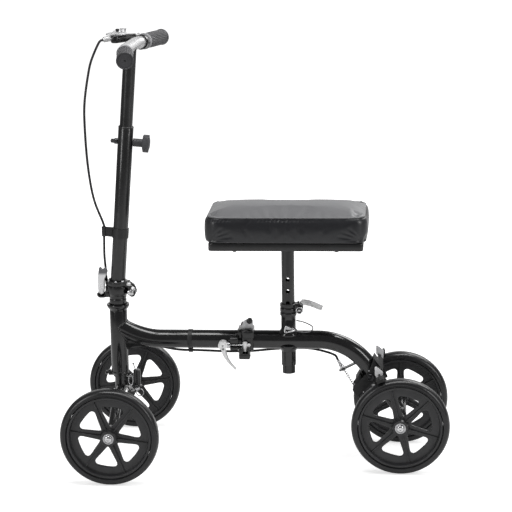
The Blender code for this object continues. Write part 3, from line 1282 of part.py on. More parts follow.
def make_cables():
    clip = column_point(-0.0345, 0, CLIP_AT)
    spacing = 0.0155
    tip = adjuster_tip()
    away = (tip - barrel_end()).normalized()
    upper = [tip + away * 0.0012, tip + away * 0.0090, (-0.3400, 0.0190, 0.8130),
             (-0.3500, 0.0130, 0.7500), (-0.3515, 0.0100, 0.7024), (-0.3475, 0.0060, 0.6200),
             (-0.3370, 0.0020, 0.5500), clip + Vector((0, 0, 0.0150)),
             clip + Vector((0, 0, 0.0003))]
    tube_along("cable_upper", smooth_route(upper, spacing), CABLE_R, "cable_black")
    middle = [clip - Vector((0, 0, 0.0003)), clip - Vector((0, 0, 0.0150)),
              (-0.3200, 0.0080, 0.4300), (-0.3195, 0.0150, 0.4000),
              (-0.3190, 0.0200, 0.3750), (-0.3150, 0.0250, 0.3500),
              (-0.3090, 0.0290, 0.3350)]
    tube_along("cable_middle", smooth_route(middle, spacing), CABLE_R, "cable_black")
    grommet = Vector((-0.1440, 0, 0.2290))
    front = [(-0.3088, 0.0291, 0.3344), (-0.3010, 0.0315, 0.3120), (-0.2860, 0.0310, 0.2800),
             (-0.2600, 0.0270, 0.2530), (-0.2250, 0.0180, 0.2360), (-0.1850, 0.0060, 0.2300),
             grommet - Vector((0.0150, 0, 0)), grommet - Vector((0.0003, 0, 0))]
    tube_along("cable_front", smooth_route(front, 0.0200), CABLE_R, "cable_black")
    ferrule = wire_point(-0.0215 - 0.0012)
    rear = [grommet + Vector((0.0003, 0, 0)), (-0.1100, 0, 0.2280), (-0.0620, 0.0010, 0.2262),
            (-0.0169, 0.0080, 0.2255), (0.0200, 0.0180, 0.2262), (0.0600, 0.0220, 0.2280),
            (0.1000, 0.0160, 0.2295), (0.1300, 0.0050, 0.2275),
            ferrule - wire_direction() * 0.0120, ferrule]
    tube_along("cable_rear", smooth_route(rear, 0.0220), CABLE_R, "cable_black")


def build():
    clear_scene()
    make_wheels()
    make_rear_frame()
    make_rear_hinge_block()
    make_hinge_pin()
    make_hinge_barrel_nut()
    make_hinge_catch()
    make_seat_collar()
    make_seat_skewer()
    make_seat_lever()
    make_seat_post()
    make_tray()
    make_cushion()
    make_lock_pin()
    make_yoke()
    make_shoe("brake_shoe_left", -1)
    make_shoe("brake_shoe_right", 1)
    make_brake_bolt()
    make_rear_adjuster()
    make_inner_wire()
    make_brake_spring()
    make_front_frame()
    make_front_hinge_block()
    make_clamp_rod()
    make_clamp_lever()
    make_headset_upper()
    make_headset_lower()
    make_fork()
    make_lock_plunger()
    make_column_base()
    make_fold_pin()
    make_latch_lever()
    make_column_lower()
    make_knob()
    make_cable_clip()
    make_upper_column()
    make_handlebar()
    make_grip("grip_left", -1)
    make_grip("grip_right", 1)
    make_lever_perch()
    make_brake_lever()
    make_park_button()
    make_cables()


build()
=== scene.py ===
# %% [markdown]
# # Folding knee walker
# A knee walker carries one shin on a padded rest while the other leg pushes. This lesson
# dresses its fixed frame of solids: each piece is a surface worked out as arrays of points,
# with a finish built from shader nodes. Lengths are metres, +Z is up, the walker drives
# towards -X, and +Y is the rider's right side.

# %% Load the frame
import json
import bmesh
import bpy
import numpy as np
from math import atan2, cos, pi, radians, sin, tan
from mathutils import Matrix, Vector


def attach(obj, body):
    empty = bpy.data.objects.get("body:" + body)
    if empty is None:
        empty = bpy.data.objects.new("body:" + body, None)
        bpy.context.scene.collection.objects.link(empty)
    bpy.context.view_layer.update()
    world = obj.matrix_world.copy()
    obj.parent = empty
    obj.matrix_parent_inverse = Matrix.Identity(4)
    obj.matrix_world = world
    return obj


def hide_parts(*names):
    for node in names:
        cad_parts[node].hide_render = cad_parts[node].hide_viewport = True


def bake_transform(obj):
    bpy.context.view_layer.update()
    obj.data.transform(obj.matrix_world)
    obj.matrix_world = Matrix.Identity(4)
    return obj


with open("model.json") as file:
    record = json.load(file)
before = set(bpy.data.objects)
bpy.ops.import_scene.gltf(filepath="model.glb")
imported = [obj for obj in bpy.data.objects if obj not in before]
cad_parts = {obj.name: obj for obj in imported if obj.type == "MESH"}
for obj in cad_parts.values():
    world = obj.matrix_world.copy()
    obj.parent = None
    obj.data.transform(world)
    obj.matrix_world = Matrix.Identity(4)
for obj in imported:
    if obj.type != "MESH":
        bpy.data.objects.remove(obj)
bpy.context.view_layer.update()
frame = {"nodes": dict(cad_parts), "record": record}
nodes = frame["nodes"]
print("frame loaded:", len(nodes), "nodes")

# %% [markdown]
# ## A grid becomes a skin
# Most parts of the walker are turned, bent or drawn from tube, so a shape here is a function
# of two parameters sampled on a grid. Four neighbouring samples make one face. Rows or
# columns that run round a tube are closed by joining the last one to the first.

# %% Patches of points
def patch(points, close_rows=False, close_cols=False):
    """Faces of a grid: sample (i, j) joins (i + 1, j), (i + 1, j + 1) and (i, j + 1)."""
    rows, cols = points.shape[:2]
    i = np.arange(rows if close_rows else rows - 1)[:, None]
    j = np.arange(cols if close_cols else cols - 1)[None, :]
    below = (i + 1) % rows
    beside = (j + 1) % cols
    faces = np.stack(
        [i * cols + j, below * cols + j, below * cols + beside, i * cols + beside], -1)
    return points.reshape(-1, 3), faces.reshape(-1, 4)


def moved(shape, place):
    """The same patch after a 4 x 4 placing: point' = turn x point + shift."""
    points, faces = shape
    place = np.array(place)
    return points @ place[:3, :3].T + place[:3, 3], faces


def stacked(shapes):
    """Several patches as one list of points and one of faces."""
    starts = np.cumsum([0] + [len(shape[0]) for shape in shapes[:-1]])
    return (np.vstack([shape[0] for shape in shapes]),
            np.vstack([shape[1] + start for shape, start in zip(shapes, starts)]))


# %% [markdown]
# ## Put a skin into the scene
# Patches of one piece are stacked into one mesh, near-doubles are merged so that poles and
# seams close, and the normals are turned outwards. The piece then rides on a body of the
# frame and may stand for a plainer solid.

# %% Skin to piece
def new_mesh(name, points, faces):
    mesh = bpy.data.meshes.new(name)
    mesh.from_pydata(points.tolist(), [], faces.tolist())
    return mesh


def new_object(name, data):
    """An object with this data, put into the scene."""
    thing = bpy.data.objects.new(name, data)
    bpy.context.scene.collection.objects.link(thing)
    return thing


def smooth_edges(mesh, sharp):
    """Smooth shading, except across edges where the faces turn by more than this angle."""
    mesh.shade_smooth()
    mesh.set_sharp_from_angle(angle=radians(sharp))


def settle(piece, material, body, stands_for):
    """Give a finished piece its material, its body and the solid it stands for."""
    piece.data.materials.clear()
    piece.data.materials.append(material)
    if body:
        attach(piece, body)
    if stands_for:
        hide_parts(*stands_for)
    return piece


def skin(name, shapes, material, body, slot, stands_for=(), sharp=40.0, merge=1e-5):
    """Stack the patches of one piece, merge near-doubles and face the skin outwards."""
    mesh = new_mesh(name, *stacked(shapes))
    bm = bmesh.new()
    bm.from_mesh(mesh)
    bmesh.ops.remove_doubles(bm, verts=bm.verts[:], dist=merge)
    bmesh.ops.dissolve_degenerate(bm, dist=merge, edges=bm.edges[:])
    bmesh.ops.recalc_face_normals(bm, faces=bm.faces[:])
    bm.to_mesh(mesh)
    bm.free()
    smooth_edges(mesh, sharp)
    return settle(new_object(name, mesh), material, body, stands_for)


# %% [markdown]
# ## Dress a solid
# A small machined part already has the right shape, but its mesh is loose triangles. A copy
# is merged, shaded smooth across its curves, and its edges get a fine bevel, because a real
# edge is never knife-sharp and catches a line of light.

# %% Copy, merge and bevel a solid
def body_of_node(node):
    for body, members in frame["record"]["behaviour"]["bodies"].items():
        if node in members:
            return body


def slot_of_node(node):
    for row in frame["record"]["subparts"]:
        if row["node"] == node:
            return row["material_slot"]


EDGE_WIDTH = 0.0004
EDGE_ANGLE = 32.0


def look(node, shapes, material, **fine):
    """A skin that stands for one solid and takes that solid's body."""
    return skin(node + "_look", shapes, material, body_of_node(node), slot_of_node(node),
                [node], **fine)


def dress(node, material):
    """A merged, bevelled copy of a solid that stands for it."""
    mesh = nodes[node].data.copy()
    bm = bmesh.new()
    bm.from_mesh(mesh)
    bmesh.ops.remove_doubles(bm, verts=bm.verts[:], dist=1e-5)
    bmesh.ops.dissolve_limit(
        bm, angle_limit=radians(0.5), verts=bm.verts[:], edges=bm.edges[:])
    bm.to_mesh(mesh)
    bm.free()
    mesh.name = node + "_look"
    smooth_edges(mesh, EDGE_ANGLE)
    piece = new_object(node + "_look", mesh)
    settle(piece, material, body_of_node(node), [node])
    bevel = piece.modifiers.new("edge", "BEVEL")
    bevel.width = EDGE_WIDTH
    bevel.segments = 2
    bevel.limit_method = "ANGLE"
    bevel.angle_limit = radians(EDGE_ANGLE)
    bevel.use_clamp_overlap = True
    bevel.harden_normals = True


# %% [markdown]
# ## Lines that the surfaces follow
# A bent tube needs a smooth centre line through a few measured points, and a turned part
# needs an outline whose corners are slightly rounded. Both are short cubic or square curves.

# %% Smooth lines and rounded corners
def flow(knots, per_span=8):
    """Points on a cubic through the knots; its slope at a knot is half the step between
    the knots on either side of it."""
    knots = np.array(knots, float)
    ends = np.vstack([2 * knots[0] - knots[1], knots, 2 * knots[-1] - knots[-2]])
    t = np.linspace(0, 1, per_span, endpoint=False)[None, :, None]
    a, b, c, d = (ends[i:len(ends) - 3 + i, None, :] for i in range(4))
    line = 0.5 * (2 * b + (c - a) * t + (2 * a - 5 * b + 4 * c - d) * t ** 2
                  + (3 * b - a - 3 * c + d) * t ** 3)
    return np.vstack([line.reshape(-1, knots.shape[1]), knots[-1:]])


def rounded(outline, radius, closed=True, steps=3):
    """Each corner P becomes a short curve (1-t)^2 A + 2t(1-t) P + t^2 B, with A and B on
    the two sides, a radius away or 0.45 of a side at most."""
    p = np.array(outline, float)
    before = np.roll(p, 1, 0) - p
    after = np.roll(p, -1, 0) - p
    reach_a = np.linalg.norm(before, axis=1, keepdims=True) + 1e-12
    reach_b = np.linalg.norm(after, axis=1, keepdims=True) + 1e-12
    a = p + before / reach_a * np.minimum(radius, 0.45 * reach_a)
    b = p + after / reach_b * np.minimum(radius, 0.45 * reach_b)
    t = np.linspace(0, 1, steps)[None, :, None]
    curve = (1 - t) ** 2 * a[:, None] + 2 * t * (1 - t) * p[:, None] + t ** 2 * b[:, None]
    curve = curve.reshape(-1, p.shape[1])
    if closed:
        return curve
    return np.vstack([p[:1], curve[steps:-steps], p[-1:]])


def walk(line):
    """The distance walked along the line up to each of its points."""
    return np.concatenate([[0], np.cumsum(np.linalg.norm(np.diff(line, axis=0), axis=1))])


def resample(line, count):
    """The same line with evenly spaced points."""
    line = np.array(line, float)
    walked = walk(line)
    even = np.linspace(0, walked[-1], count)
    return np.stack([np.interp(even, walked, line[:, k]) for k in range(line.shape[1])], -1)


def evened(outline, count):
    """A closed outline with evenly spaced points."""
    return resample(np.vstack([outline, outline[:1]]), count + 1)[:-1]


# %% [markdown]
# ## Turned and swept surfaces
# A lathe spins an outline round an axis. A tube bender carries a section along a line. Most
# of the tubes, bolts, grips and cables, and the wheels' tyres and hubs, come from these two.

# %% Lathe and tube
def turned(outline, sides=64, place=None, closed=True):
    """Outline points (r, h) spin to (r cos a, r sin a, h), for angles a round the axis."""
    outline = np.array(outline, float)
    angle = np.linspace(0, 2 * pi, sides, endpoint=False)
    points = np.stack([
        outline[:, :1] * np.cos(angle), outline[:, :1] * np.sin(angle),
        np.repeat(outline[:, 1:], sides, 1)], -1)
    shape = patch(points, close_rows=closed, close_cols=True)
    return moved(shape, place) if place is not None else shape


def directions(line, reference):
    """Two unit directions across a line at each of its points: the first is square to the
    reference, the second as near to it as can be."""
    along = np.gradient(line, axis=0)
    along /= np.linalg.norm(along, axis=1, keepdims=True)
    side = np.cross(along, reference)
    side /= np.linalg.norm(side, axis=1, keepdims=True)
    return side, np.cross(side, along)


def swept(line, section, reference=(0, 1, 0), scale=1.0, tall=None):
    """Section points (x, y) ride along the line: point = line + scale x side + tall y up,
    where tall is the scale unless it is given. The first and last rings shrink to a point,
    which closes the ends."""
    line, section = np.array(line, float), np.array(section, float)
    scale = np.broadcast_to(scale, len(line))[:, None, None]
    tall = scale if tall is None else np.broadcast_to(tall, len(line))[:, None, None]
    side, up = directions(line, np.array(reference, float))
    rings = (line[:, None] + section[None, :, 0, None] * scale * side[:, None]
             + section[None, :, 1, None] * tall * up[:, None])
    ends = [np.repeat(ring.mean(1, keepdims=True), rings.shape[1], 1)
            for ring in (rings[:1], rings[-1:])]
    return patch(np.concatenate([ends[0], rings, ends[1]]), close_cols=True)


def circle(radius, sides=32):
    """Points (R cos a, R sin a)."""
    angle = np.linspace(0, 2 * pi, sides, endpoint=False)
    return np.stack([radius * np.cos(angle), radius * np.sin(angle)], -1)


def rectangle(width, height, corner, steps=5):
    """A rounded rectangle about the origin."""
    x, y = width / 2, height / 2
    return rounded([(-x, -y), (x, -y), (x, y), (-x, y)], corner, steps=steps)


def along_axis(start, direction):
    """A placing whose local +Z points along the direction, from the start."""
    turn = Vector((0, 0, 1)).rotation_difference(Vector(direction).normalized())
    return Matrix.Translation(Vector(start)) @ turn.to_matrix().to_4x4()


def spun(outline, corner, sides, place=None):
    """An outline from axis to axis, with its corners rounded, spun round that axis."""
    return turned(rounded(outline, corner, closed=False), sides, place, closed=False)


# %% [markdown]
# ## Finishes
# The walker has powder coat, bare and plated metal, moulded plastic, rubber and upholstery
# vinyl. Each finish is a Principled shader whose roughness, colour and tiny relief vary
# with noise on Object coordinates, so the pattern stays put when the piece moves.

# %% Node helpers
NOISE_LOW, NOISE_HIGH = 0.3, 0.7


def new_finish(name, colour, roughness, metallic=0.0, coat=0.0, coat_roughness=0.1):
    """A material and its node tree, with the even values on the shader's own sockets."""
    material = bpy.data.materials.new(name)
    material.use_nodes = True
    shader = material.node_tree.nodes["Principled BSDF"]
    shader.inputs["Base Color"].default_value = (*colour, 1)
    shader.inputs["Roughness"].default_value = roughness
    shader.inputs["Metallic"].default_value = metallic
    shader.inputs["Coat Weight"].default_value = coat
    shader.inputs["Coat Roughness"].default_value = coat_roughness
    material.diffuse_color = (*colour, 1)
    return material, material.node_tree.nodes, material.node_tree.links, shader


def object_place(tree):
    """A point's place in its piece's own frame, so that a pattern moves with the piece."""
    return tree.new("ShaderNodeTexCoord").outputs["Object"]


def noise_value(tree, links, scale, detail=3.0):
    """Noise on Object coordinates, in cells per metre."""
    noise = tree.new("ShaderNodeTexNoise")
    noise.inputs["Scale"].default_value = scale
    noise.inputs["Detail"].default_value = detail
    links.new(object_place(tree), noise.inputs["Vector"])
    return noise.outputs["Fac"]


def mapped(tree, links, value, start, end, low=0.0, high=1.0):
    """Map a value from start..end onto low..high, and hold it inside that range."""
    step = tree.new("ShaderNodeMapRange")
    for socket, number in (("From Min", start), ("From Max", end), ("To Min", low),
                           ("To Max", high)):
        step.inputs[socket].default_value = number
    links.new(value, step.inputs["Value"])
    return step.outputs["Result"]


def spread(tree, links, value, low, high):
    """Map noise, which mostly lies between 0.3 and 0.7, onto a range."""
    return mapped(tree, links, value, NOISE_LOW, NOISE_HIGH, low, high)


def tint(tree, links, value, shader, dark, light):
    """Vary the base colour between two tones."""
    ramp = tree.new("ShaderNodeValToRGB")
    ramp.color_ramp.elements[0].position = 0.32
    ramp.color_ramp.elements[0].color = (*dark, 1)
    ramp.color_ramp.elements[1].position = 0.68
    ramp.color_ramp.elements[1].color = (*light, 1)
    links.new(value, ramp.inputs["Fac"])
    links.new(ramp.outputs["Color"], shader.inputs["Base Color"])


def relief(tree, links, value, shader, strength, depth):
    """A bump of the given depth in metres."""
    bump = tree.new("ShaderNodeBump")
    bump.inputs["Strength"].default_value = strength
    bump.inputs["Distance"].default_value = depth
    links.new(value, bump.inputs["Height"])
    links.new(bump.outputs["Normal"], shader.inputs["Normal"])


def tone_by_height(material, start, end, low, high):
    """Colour that changes with height: one tone below start, the other above end. Returns
    the height's share, 0 below and 1 above."""
    tree, links = material.node_tree.nodes, material.node_tree.links
    apart = tree.new("ShaderNodeSeparateXYZ")
    links.new(object_place(tree), apart.inputs["Vector"])
    share = mapped(tree, links, apart.outputs["Z"], start, end)
    tint(tree, links, share, tree["Principled BSDF"], low, high)
    return share


# %% [markdown]
# Powder coat is sprayed as dust and melted on. It flows into a hard skin with a faint
# orange-peel ripple, which is what breaks up the long highlights on the tubes.

# %% Painted and plated metals
def powder_coat(name, colour, roughness, peel):
    material, tree, links, shader = new_finish(name, colour, roughness, 0.0, 0.35, 0.06)
    smudge = noise_value(tree, links, 26.0, 4.0)
    links.new(spread(tree, links, smudge, roughness * 0.8, roughness * 1.25),
              shader.inputs["Roughness"])
    tint(tree, links, noise_value(tree, links, 60.0, 2.0), shader,
         tuple(c * 0.85 for c in colour), tuple(c * 1.25 for c in colour))
    relief(tree, links, noise_value(tree, links, 700.0, 2.0), shader, peel, 0.00006)
    return material


def bare_metal(name, colour, roughness, grain, metallic=1.0):
    material, tree, links, shader = new_finish(name, colour, roughness, metallic)
    smudge = noise_value(tree, links, 90.0, 4.0)
    links.new(spread(tree, links, smudge, roughness * 0.7, roughness * 1.4),
              shader.inputs["Roughness"])
    tint(tree, links, noise_value(tree, links, 220.0, 3.0), shader,
         tuple(c * 0.82 for c in colour), tuple(min(c * 1.1, 1.0) for c in colour))
    relief(tree, links, noise_value(tree, links, 1500.0, 2.0), shader, grain, 0.00003)
    return material


gloss_black = powder_coat("gloss_black", (0.0085, 0.0085, 0.0090), 0.17, 0.35)
satin_black = powder_coat("satin_black", (0.0095, 0.0095, 0.0100), 0.30, 0.5)
black_steel = powder_coat("black_steel", (0.0100, 0.0100, 0.0105), 0.26, 0.4)
chrome = bare_metal("chrome", (0.74, 0.74, 0.75), 0.10, 0.10)
steel = bare_metal("steel", (0.55, 0.55, 0.56), 0.26, 0.25)
silver = bare_metal("silver", (0.74, 0.74, 0.745), 0.32, 0.25, metallic=0.6)
latch_silver = bare_metal("latch_silver", (0.86, 0.86, 0.87), 0.34, 0.15, metallic=0.35)
bar_silver = bare_metal("bar_silver", (0.60, 0.60, 0.605), 0.34, 0.15, metallic=0.5)
bright_silver = bare_metal("bright_silver", (0.92, 0.92, 0.925), 0.30, 0.15, metallic=0.3)
wire_steel = bare_metal("wire_steel", (0.22, 0.22, 0.225), 0.30, 0.15, metallic=0.6)
bright_plate = bare_metal("bright_plate", (0.62, 0.62, 0.63), 0.40, 0.3, metallic=0.3)
dark_steel = bare_metal("dark_steel", (0.075, 0.075, 0.080), 0.26, 0.25, metallic=0.8)
gloss_metal = powder_coat("gloss_metal", (0.0070, 0.0070, 0.0074), 0.20, 0.35)
print("metals:", gloss_black.name, satin_black.name, chrome.name, steel.name, silver.name)

# %% [markdown]
# Moulded plastic and rubber are never even: a fine spark-eroded texture scatters light, and
# handling leaves patches that are a little smoother and darker.

# %% Plastics and rubbers
def moulded(name, colour, roughness, grain_scale, grain, wear=0.12):
    material, tree, links, shader = new_finish(name, colour, roughness)
    smudge = noise_value(tree, links, 34.0, 5.0)
    links.new(spread(tree, links, smudge, roughness * (1 - wear), roughness * (1 + wear)),
              shader.inputs["Roughness"])
    tint(tree, links, noise_value(tree, links, 48.0, 4.0), shader,
         tuple(c * 0.86 for c in colour), tuple(c * 1.16 for c in colour))
    relief(tree, links, noise_value(tree, links, grain_scale, 2.0), shader, grain, 0.00008)
    return material


wheel_plastic = moulded("wheel_plastic", (0.026, 0.026, 0.0275), 0.34, 2200.0, 0.45)
tyre_rubber = moulded("tyre_rubber", (0.013, 0.013, 0.014), 0.30, 1500.0, 0.25, 0.2)
grip_rubber = moulded("grip_rubber", (0.046, 0.046, 0.050), 0.55, 1800.0, 0.5)
soft_black = moulded("soft_black", (0.016, 0.016, 0.017), 0.48, 2000.0, 0.35)
brake_rubber = moulded("brake_rubber", (0.014, 0.014, 0.014), 0.78, 1300.0, 0.6)
cable_black = moulded("cable_black", (0.012, 0.012, 0.013), 0.34, 2400.0, 0.2)
yoke_black = moulded("yoke_black", (0.0085, 0.0085, 0.0090), 0.46, 1500.0, 0.2)
lug_grey = moulded("lug_grey", (0.72, 0.72, 0.73), 0.42, 1500.0, 0.2)
tab_grey = moulded("tab_grey", (0.46, 0.46, 0.47), 0.42, 1500.0, 0.25)
# The grip collars' pale grey is painted highlight: the light caught by their fine ribs.
collar_painted_highlight = moulded("collar_painted_highlight", (0.30, 0.30, 0.31), 0.40, 1500.0, 0.25)

tone_by_height(latch_silver, 0.384, 0.400, (0.84, 0.84, 0.85), (0.16, 0.16, 0.17))
print("plastics:", wheel_plastic.name, tyre_rubber.name, grip_rubber.name)

# %% [markdown]
# ## Wheels
# Each wheel is a moulded disc with six spokes inside a solid tyre. The tyre is an outline
# shaped by a superellipse, |x|^n + |y|^n = 1, which is rounder than a box and squarer than
# a circle. The disc's lip and hub are turned too.

# %% Sizes of a wheel
WHEEL_R = 0.1000
TYRE_HALF_W = 0.0155
TYRE_SEAT_R = 0.0860
RIM_HALF_W = 0.0125
HUB_HALF_W = 0.0170
HUB_R = 0.0155
BEARING_R = 0.0110
WEB_T = 0.0030
SPOKES = 6
FRONT_AXLE_X = -0.2910
REAR_AXLE_X = 0.2910
FRONT_HALF_TRACK = 0.1815
REAR_HALF_TRACK = 0.0970


def wheel_place(x, side):
    """Local +Z points outboard along the axle."""
    half_track = FRONT_HALF_TRACK if x < 0 else REAR_HALF_TRACK
    centre = Vector((x, side * half_track, WHEEL_R))
    return Matrix.Translation(centre) @ Matrix.Rotation(-side * pi / 2, 4, "X")


# %% [markdown]
# The tyre bulges over the disc's lip and has a faint moulding line round its middle and a
# shallow groove on each side wall.

# %% Tyre
def tyre_outline():
    """Radius = foot + depth |cos a|^(2/n) and width = half |sin a|^(2/n), with n = 2.6 and
    the foot 1.5 mm above the seat."""
    power = 2 / 2.6
    foot = TYRE_SEAT_R + 0.0015
    a = np.linspace(-pi / 2, pi / 2, 45)
    radius = foot + (WHEEL_R - foot) * np.abs(np.cos(a)) ** power
    width = TYRE_HALF_W * np.sign(np.sin(a)) * np.abs(np.sin(a)) ** power
    groove = 0.0005 * np.exp(-((radius - TYRE_SEAT_R - 0.0042) / 0.0007) ** 2)
    width -= np.sign(width) * groove
    radius -= 0.00025 * np.exp(-(width / 0.0007) ** 2) * (np.abs(width) > 0.0005)
    crown = np.stack([radius, width], -1)
    seat = [(TYRE_SEAT_R + 0.0002, side * (TYRE_HALF_W - 0.0025)) for side in (1, -1)]
    return np.vstack([crown, seat])


# %% [markdown]
# The disc between hub and lip has six three-cornered windows. One sixth of it is a ring-like
# patch: one parameter runs round the window, the other from the window's edge out to the
# border of the sixth, which is made of two mid-spoke lines and two arcs. Its thickness
# rounds over at the window's edge.

# %% Window and sector of the disc
def window_radius(angle, centre):
    """Distance from the centre to a smooth closed curve through the window's corners."""
    half = [(0.208, 0.0), (0.250, 0.040), (0.370, 0.118), (0.500, 0.205), (0.560, 0.222),
            (0.606, 0.190), (0.622, 0.120), (0.628, 0.0)]
    ring = half + [(x, -y) for x, y in half[-2:0:-1]]
    knots = np.array(ring + ring[:3]) * WHEEL_R
    curve = flow(knots, 12)[12:-24]
    dx = curve[:, 0] - centre
    heading = np.arctan2(curve[:, 1], dx)
    order = np.argsort(heading)
    return np.interp(angle, heading[order], np.hypot(dx, curve[:, 1])[order], period=2 * pi)


def sector_radius(angle, centre, inner, outer):
    """Distance from the centre to the border of the sixth, the nearest of four walls."""
    dx, dy = np.cos(angle), np.sin(angle)
    half = pi / SPOKES
    far = np.full_like(angle, 1.0)
    for side in (-1, 1):
        toward = -sin(half) * dx + cos(half) * side * dy
        reach = centre * sin(half) / np.where(toward > 1e-9, toward, 1e-9)
        far = np.minimum(far, np.where(toward > 1e-9, reach, 1.0))
    far = np.minimum(far, -centre * dx + np.sqrt(outer ** 2 - (centre * dy) ** 2))
    inside = inner ** 2 - (centre * dy) ** 2
    root = -centre * dx - np.sqrt(np.maximum(inside, 0))
    return np.minimum(far, np.where((inside > 0) & (dx < 0), root, 1.0))


def disc_sector():
    """Both faces of a sixth, joined over the window's rounded edge, and a wall that closes
    it along its two arcs."""
    inner, outer = 0.0140, 0.0800
    centre = 0.43 * WHEEL_R
    half = pi / SPOKES
    corners = []
    for radius in (inner, outer):
        for side in (-1, 1):
            corners.append(atan2(side * radius * sin(half), radius * cos(half) - centre))
    angle = np.unique(np.concatenate([np.linspace(-pi, pi, 96, endpoint=False), corners]))
    near = window_radius(angle, centre)
    far = sector_radius(angle, centre, inner, outer)
    edge = 0.0016
    turn = np.linspace(0, pi / 2, 5)
    flat = np.array([1.0, 0.72, 0.44, 0.2])
    inset = [edge + (far - near - edge) * q for q in flat]
    inset += [np.full_like(near, edge * (1 - sin(t))) for t in turn]
    height = [WEB_T] * len(flat) + [WEB_T - edge + edge * cos(t) for t in turn]
    inset = np.array(inset + inset[::-1])
    height = np.array(height + [-h for h in height[::-1]])
    reach = near + inset
    points = np.stack([
        centre + reach * np.cos(angle), reach * np.sin(angle),
        np.repeat(height[:, None], len(angle), 1)], -1)
    points, faces = patch(points, close_cols=True)
    ring = len(angle)
    on_arc = np.abs(np.abs(np.hypot(*points[:ring, :2].T) - (inner + outer) / 2)
                    - (outer - inner) / 2) < 1e-7
    j = np.flatnonzero(on_arc & np.roll(on_arc, -1))
    last = len(points) - ring
    wall = np.stack([j, (j + 1) % ring, last + (j + 1) % ring, last + j], -1)
    return points, np.vstack([faces, wall])


# %% [markdown]
# A thin rib stands along the middle of each spoke on both faces, tallest at the hub and
# lowest at the lip. It keeps the moulded spoke stiff, and it draws the six fine lines that
# the eye picks out first.

# %% Rim
def spoke_rib():
    """A narrow rounded plate from the hub to the lip. On either face it stands 7.8 mm above
    the disc's middle plane at the hub and 6.2 mm at the lip."""
    steps = 24
    line = np.stack([np.linspace(0.0140, 0.0812, steps), np.zeros(steps), np.zeros(steps)], -1)
    return swept(line, rectangle(0.0026, 0.0156, 0.0012), (0, 0, 1),
                 tall=np.linspace(1.0, 0.8, steps))


def rim_shapes(place, phase):
    lip_outer = TYRE_SEAT_R - 0.0003
    lip = rounded([
        (lip_outer, -RIM_HALF_W), (lip_outer, RIM_HALF_W), (0.0808, RIM_HALF_W),
        (0.0786, 0.0030), (0.0786, -0.0030), (0.0808, -RIM_HALF_W)], 0.0012, steps=4)
    hub = rounded([
        (0.0113, -HUB_HALF_W), (0.0113, HUB_HALF_W), (HUB_R, HUB_HALF_W),
        (HUB_R + 0.0006, 0.0075), (HUB_R + 0.0035, 0.0030), (HUB_R + 0.0035, -0.0030),
        (HUB_R + 0.0006, -0.0075), (HUB_R, -HUB_HALF_W)], 0.0011, steps=4)
    shapes = [turned(lip, 96), turned(hub, 64)]
    sixth = disc_sector()
    rib = spoke_rib()
    for k in range(SPOKES):
        spoke = phase + 2 * pi * k / SPOKES
        shapes.append(moved(sixth, Matrix.Rotation(spoke + pi / SPOKES, 4, "Z")))
        shapes.append(moved(rib, Matrix.Rotation(spoke, 4, "Z")))
    return [moved(shape, place) for shape in shapes]


# %% [markdown]
# A shielded ball bearing fills each face of the hub, and a domed hexagon-socket bolt holds
# the wheel on its axle. The bolt's head is plain.

# %% Bearings and axle bolts
def bearing_shapes(place):
    """Outer race, shield with a groove on both sides of it, and inner race, turned at once."""
    face = HUB_HALF_W - 0.0005
    half = [(0.0045, face), (0.0062, face), (0.0064, face - 0.0006), (0.0088, face - 0.0004),
            (0.0090, face), (BEARING_R, face), (BEARING_R, 0.0100), (0.0065, 0.0100)]
    outline = half + [(r, -h) for r, h in half[::-1]]
    return [turned(rounded(outline, 0.0002), 48, place)]


def socket_bolt(place, seat, head_r=0.0070, head_h=0.0042, shank_r=0.0040, shank_end=-0.0368):
    """A dome with a six-sided socket, whose wall stands at a / cos(angle from the middle of
    the nearest of its six flats)."""
    sides = 48
    angle = np.linspace(0, 2 * pi, sides, endpoint=False)
    hexagon = 0.343 * head_r / np.cos((angle + pi / 6) % (pi / 3) - pi / 6)
    rows = [(0.0, shank_end), (shank_r, shank_end), (shank_r, seat), (head_r - 0.0003, seat),
            (head_r, seat + 0.0003), (head_r, seat + 0.33 * head_h)]
    rows += [(head_r * cos(t) + 0.0002, seat + 0.33 * head_h + 0.67 * head_h * sin(t))
             for t in np.linspace(0.15, 1.05, 7)]
    radius = [np.full(sides, r) for r, h in rows]
    height = [h for r, h in rows]
    rim_h = seat + 0.93 * head_h
    radius += [hexagon + 0.0004, hexagon, hexagon, hexagon * 0]
    height += [rim_h, rim_h - 0.07 * head_h, rim_h - 0.57 * head_h, rim_h - 0.66 * head_h]
    radius = np.array(radius)
    points = np.stack([radius * np.cos(angle), radius * np.sin(angle),
                       np.repeat(np.array(height)[:, None], sides, 1)], -1)
    return moved(patch(points, close_cols=True), place)


# %% [markdown]
# All four wheels are the same, each stopped at its own angle. The front pair stands wide,
# outside the fork's ends; the rear pair is close together and leaves room for the other leg.

# %% Make the four wheels
SPOKE_TURN = {"front_left": -8.5, "front_right": 8.0, "rear_left": -16.6, "rear_right": 30.0}
for wheel, degrees in SPOKE_TURN.items():
    side = -1 if wheel.endswith("left") else 1
    place = wheel_place(FRONT_AXLE_X if wheel.startswith("front") else REAR_AXLE_X, side)
    look("tyre_" + wheel, [turned(tyre_outline(), 128, place)], tyre_rubber, sharp=60)
    look("rim_" + wheel, rim_shapes(place, radians(-side * degrees)), wheel_plastic)
    look("bearings_" + wheel, bearing_shapes(place), steel)
    look("axle_bolt_" + wheel, [socket_bolt(place, HUB_HALF_W - 0.0002)], chrome, merge=2e-5)
print("wheels made:", ", ".join(SPOKE_TURN))

# %% [markdown]
# ## Plates and part-turned tubes
# Brackets and clamp halves are cut from plate, and their edges are dulled before painting.
# A slotted tube is a lathe shape that stops short of a full turn.

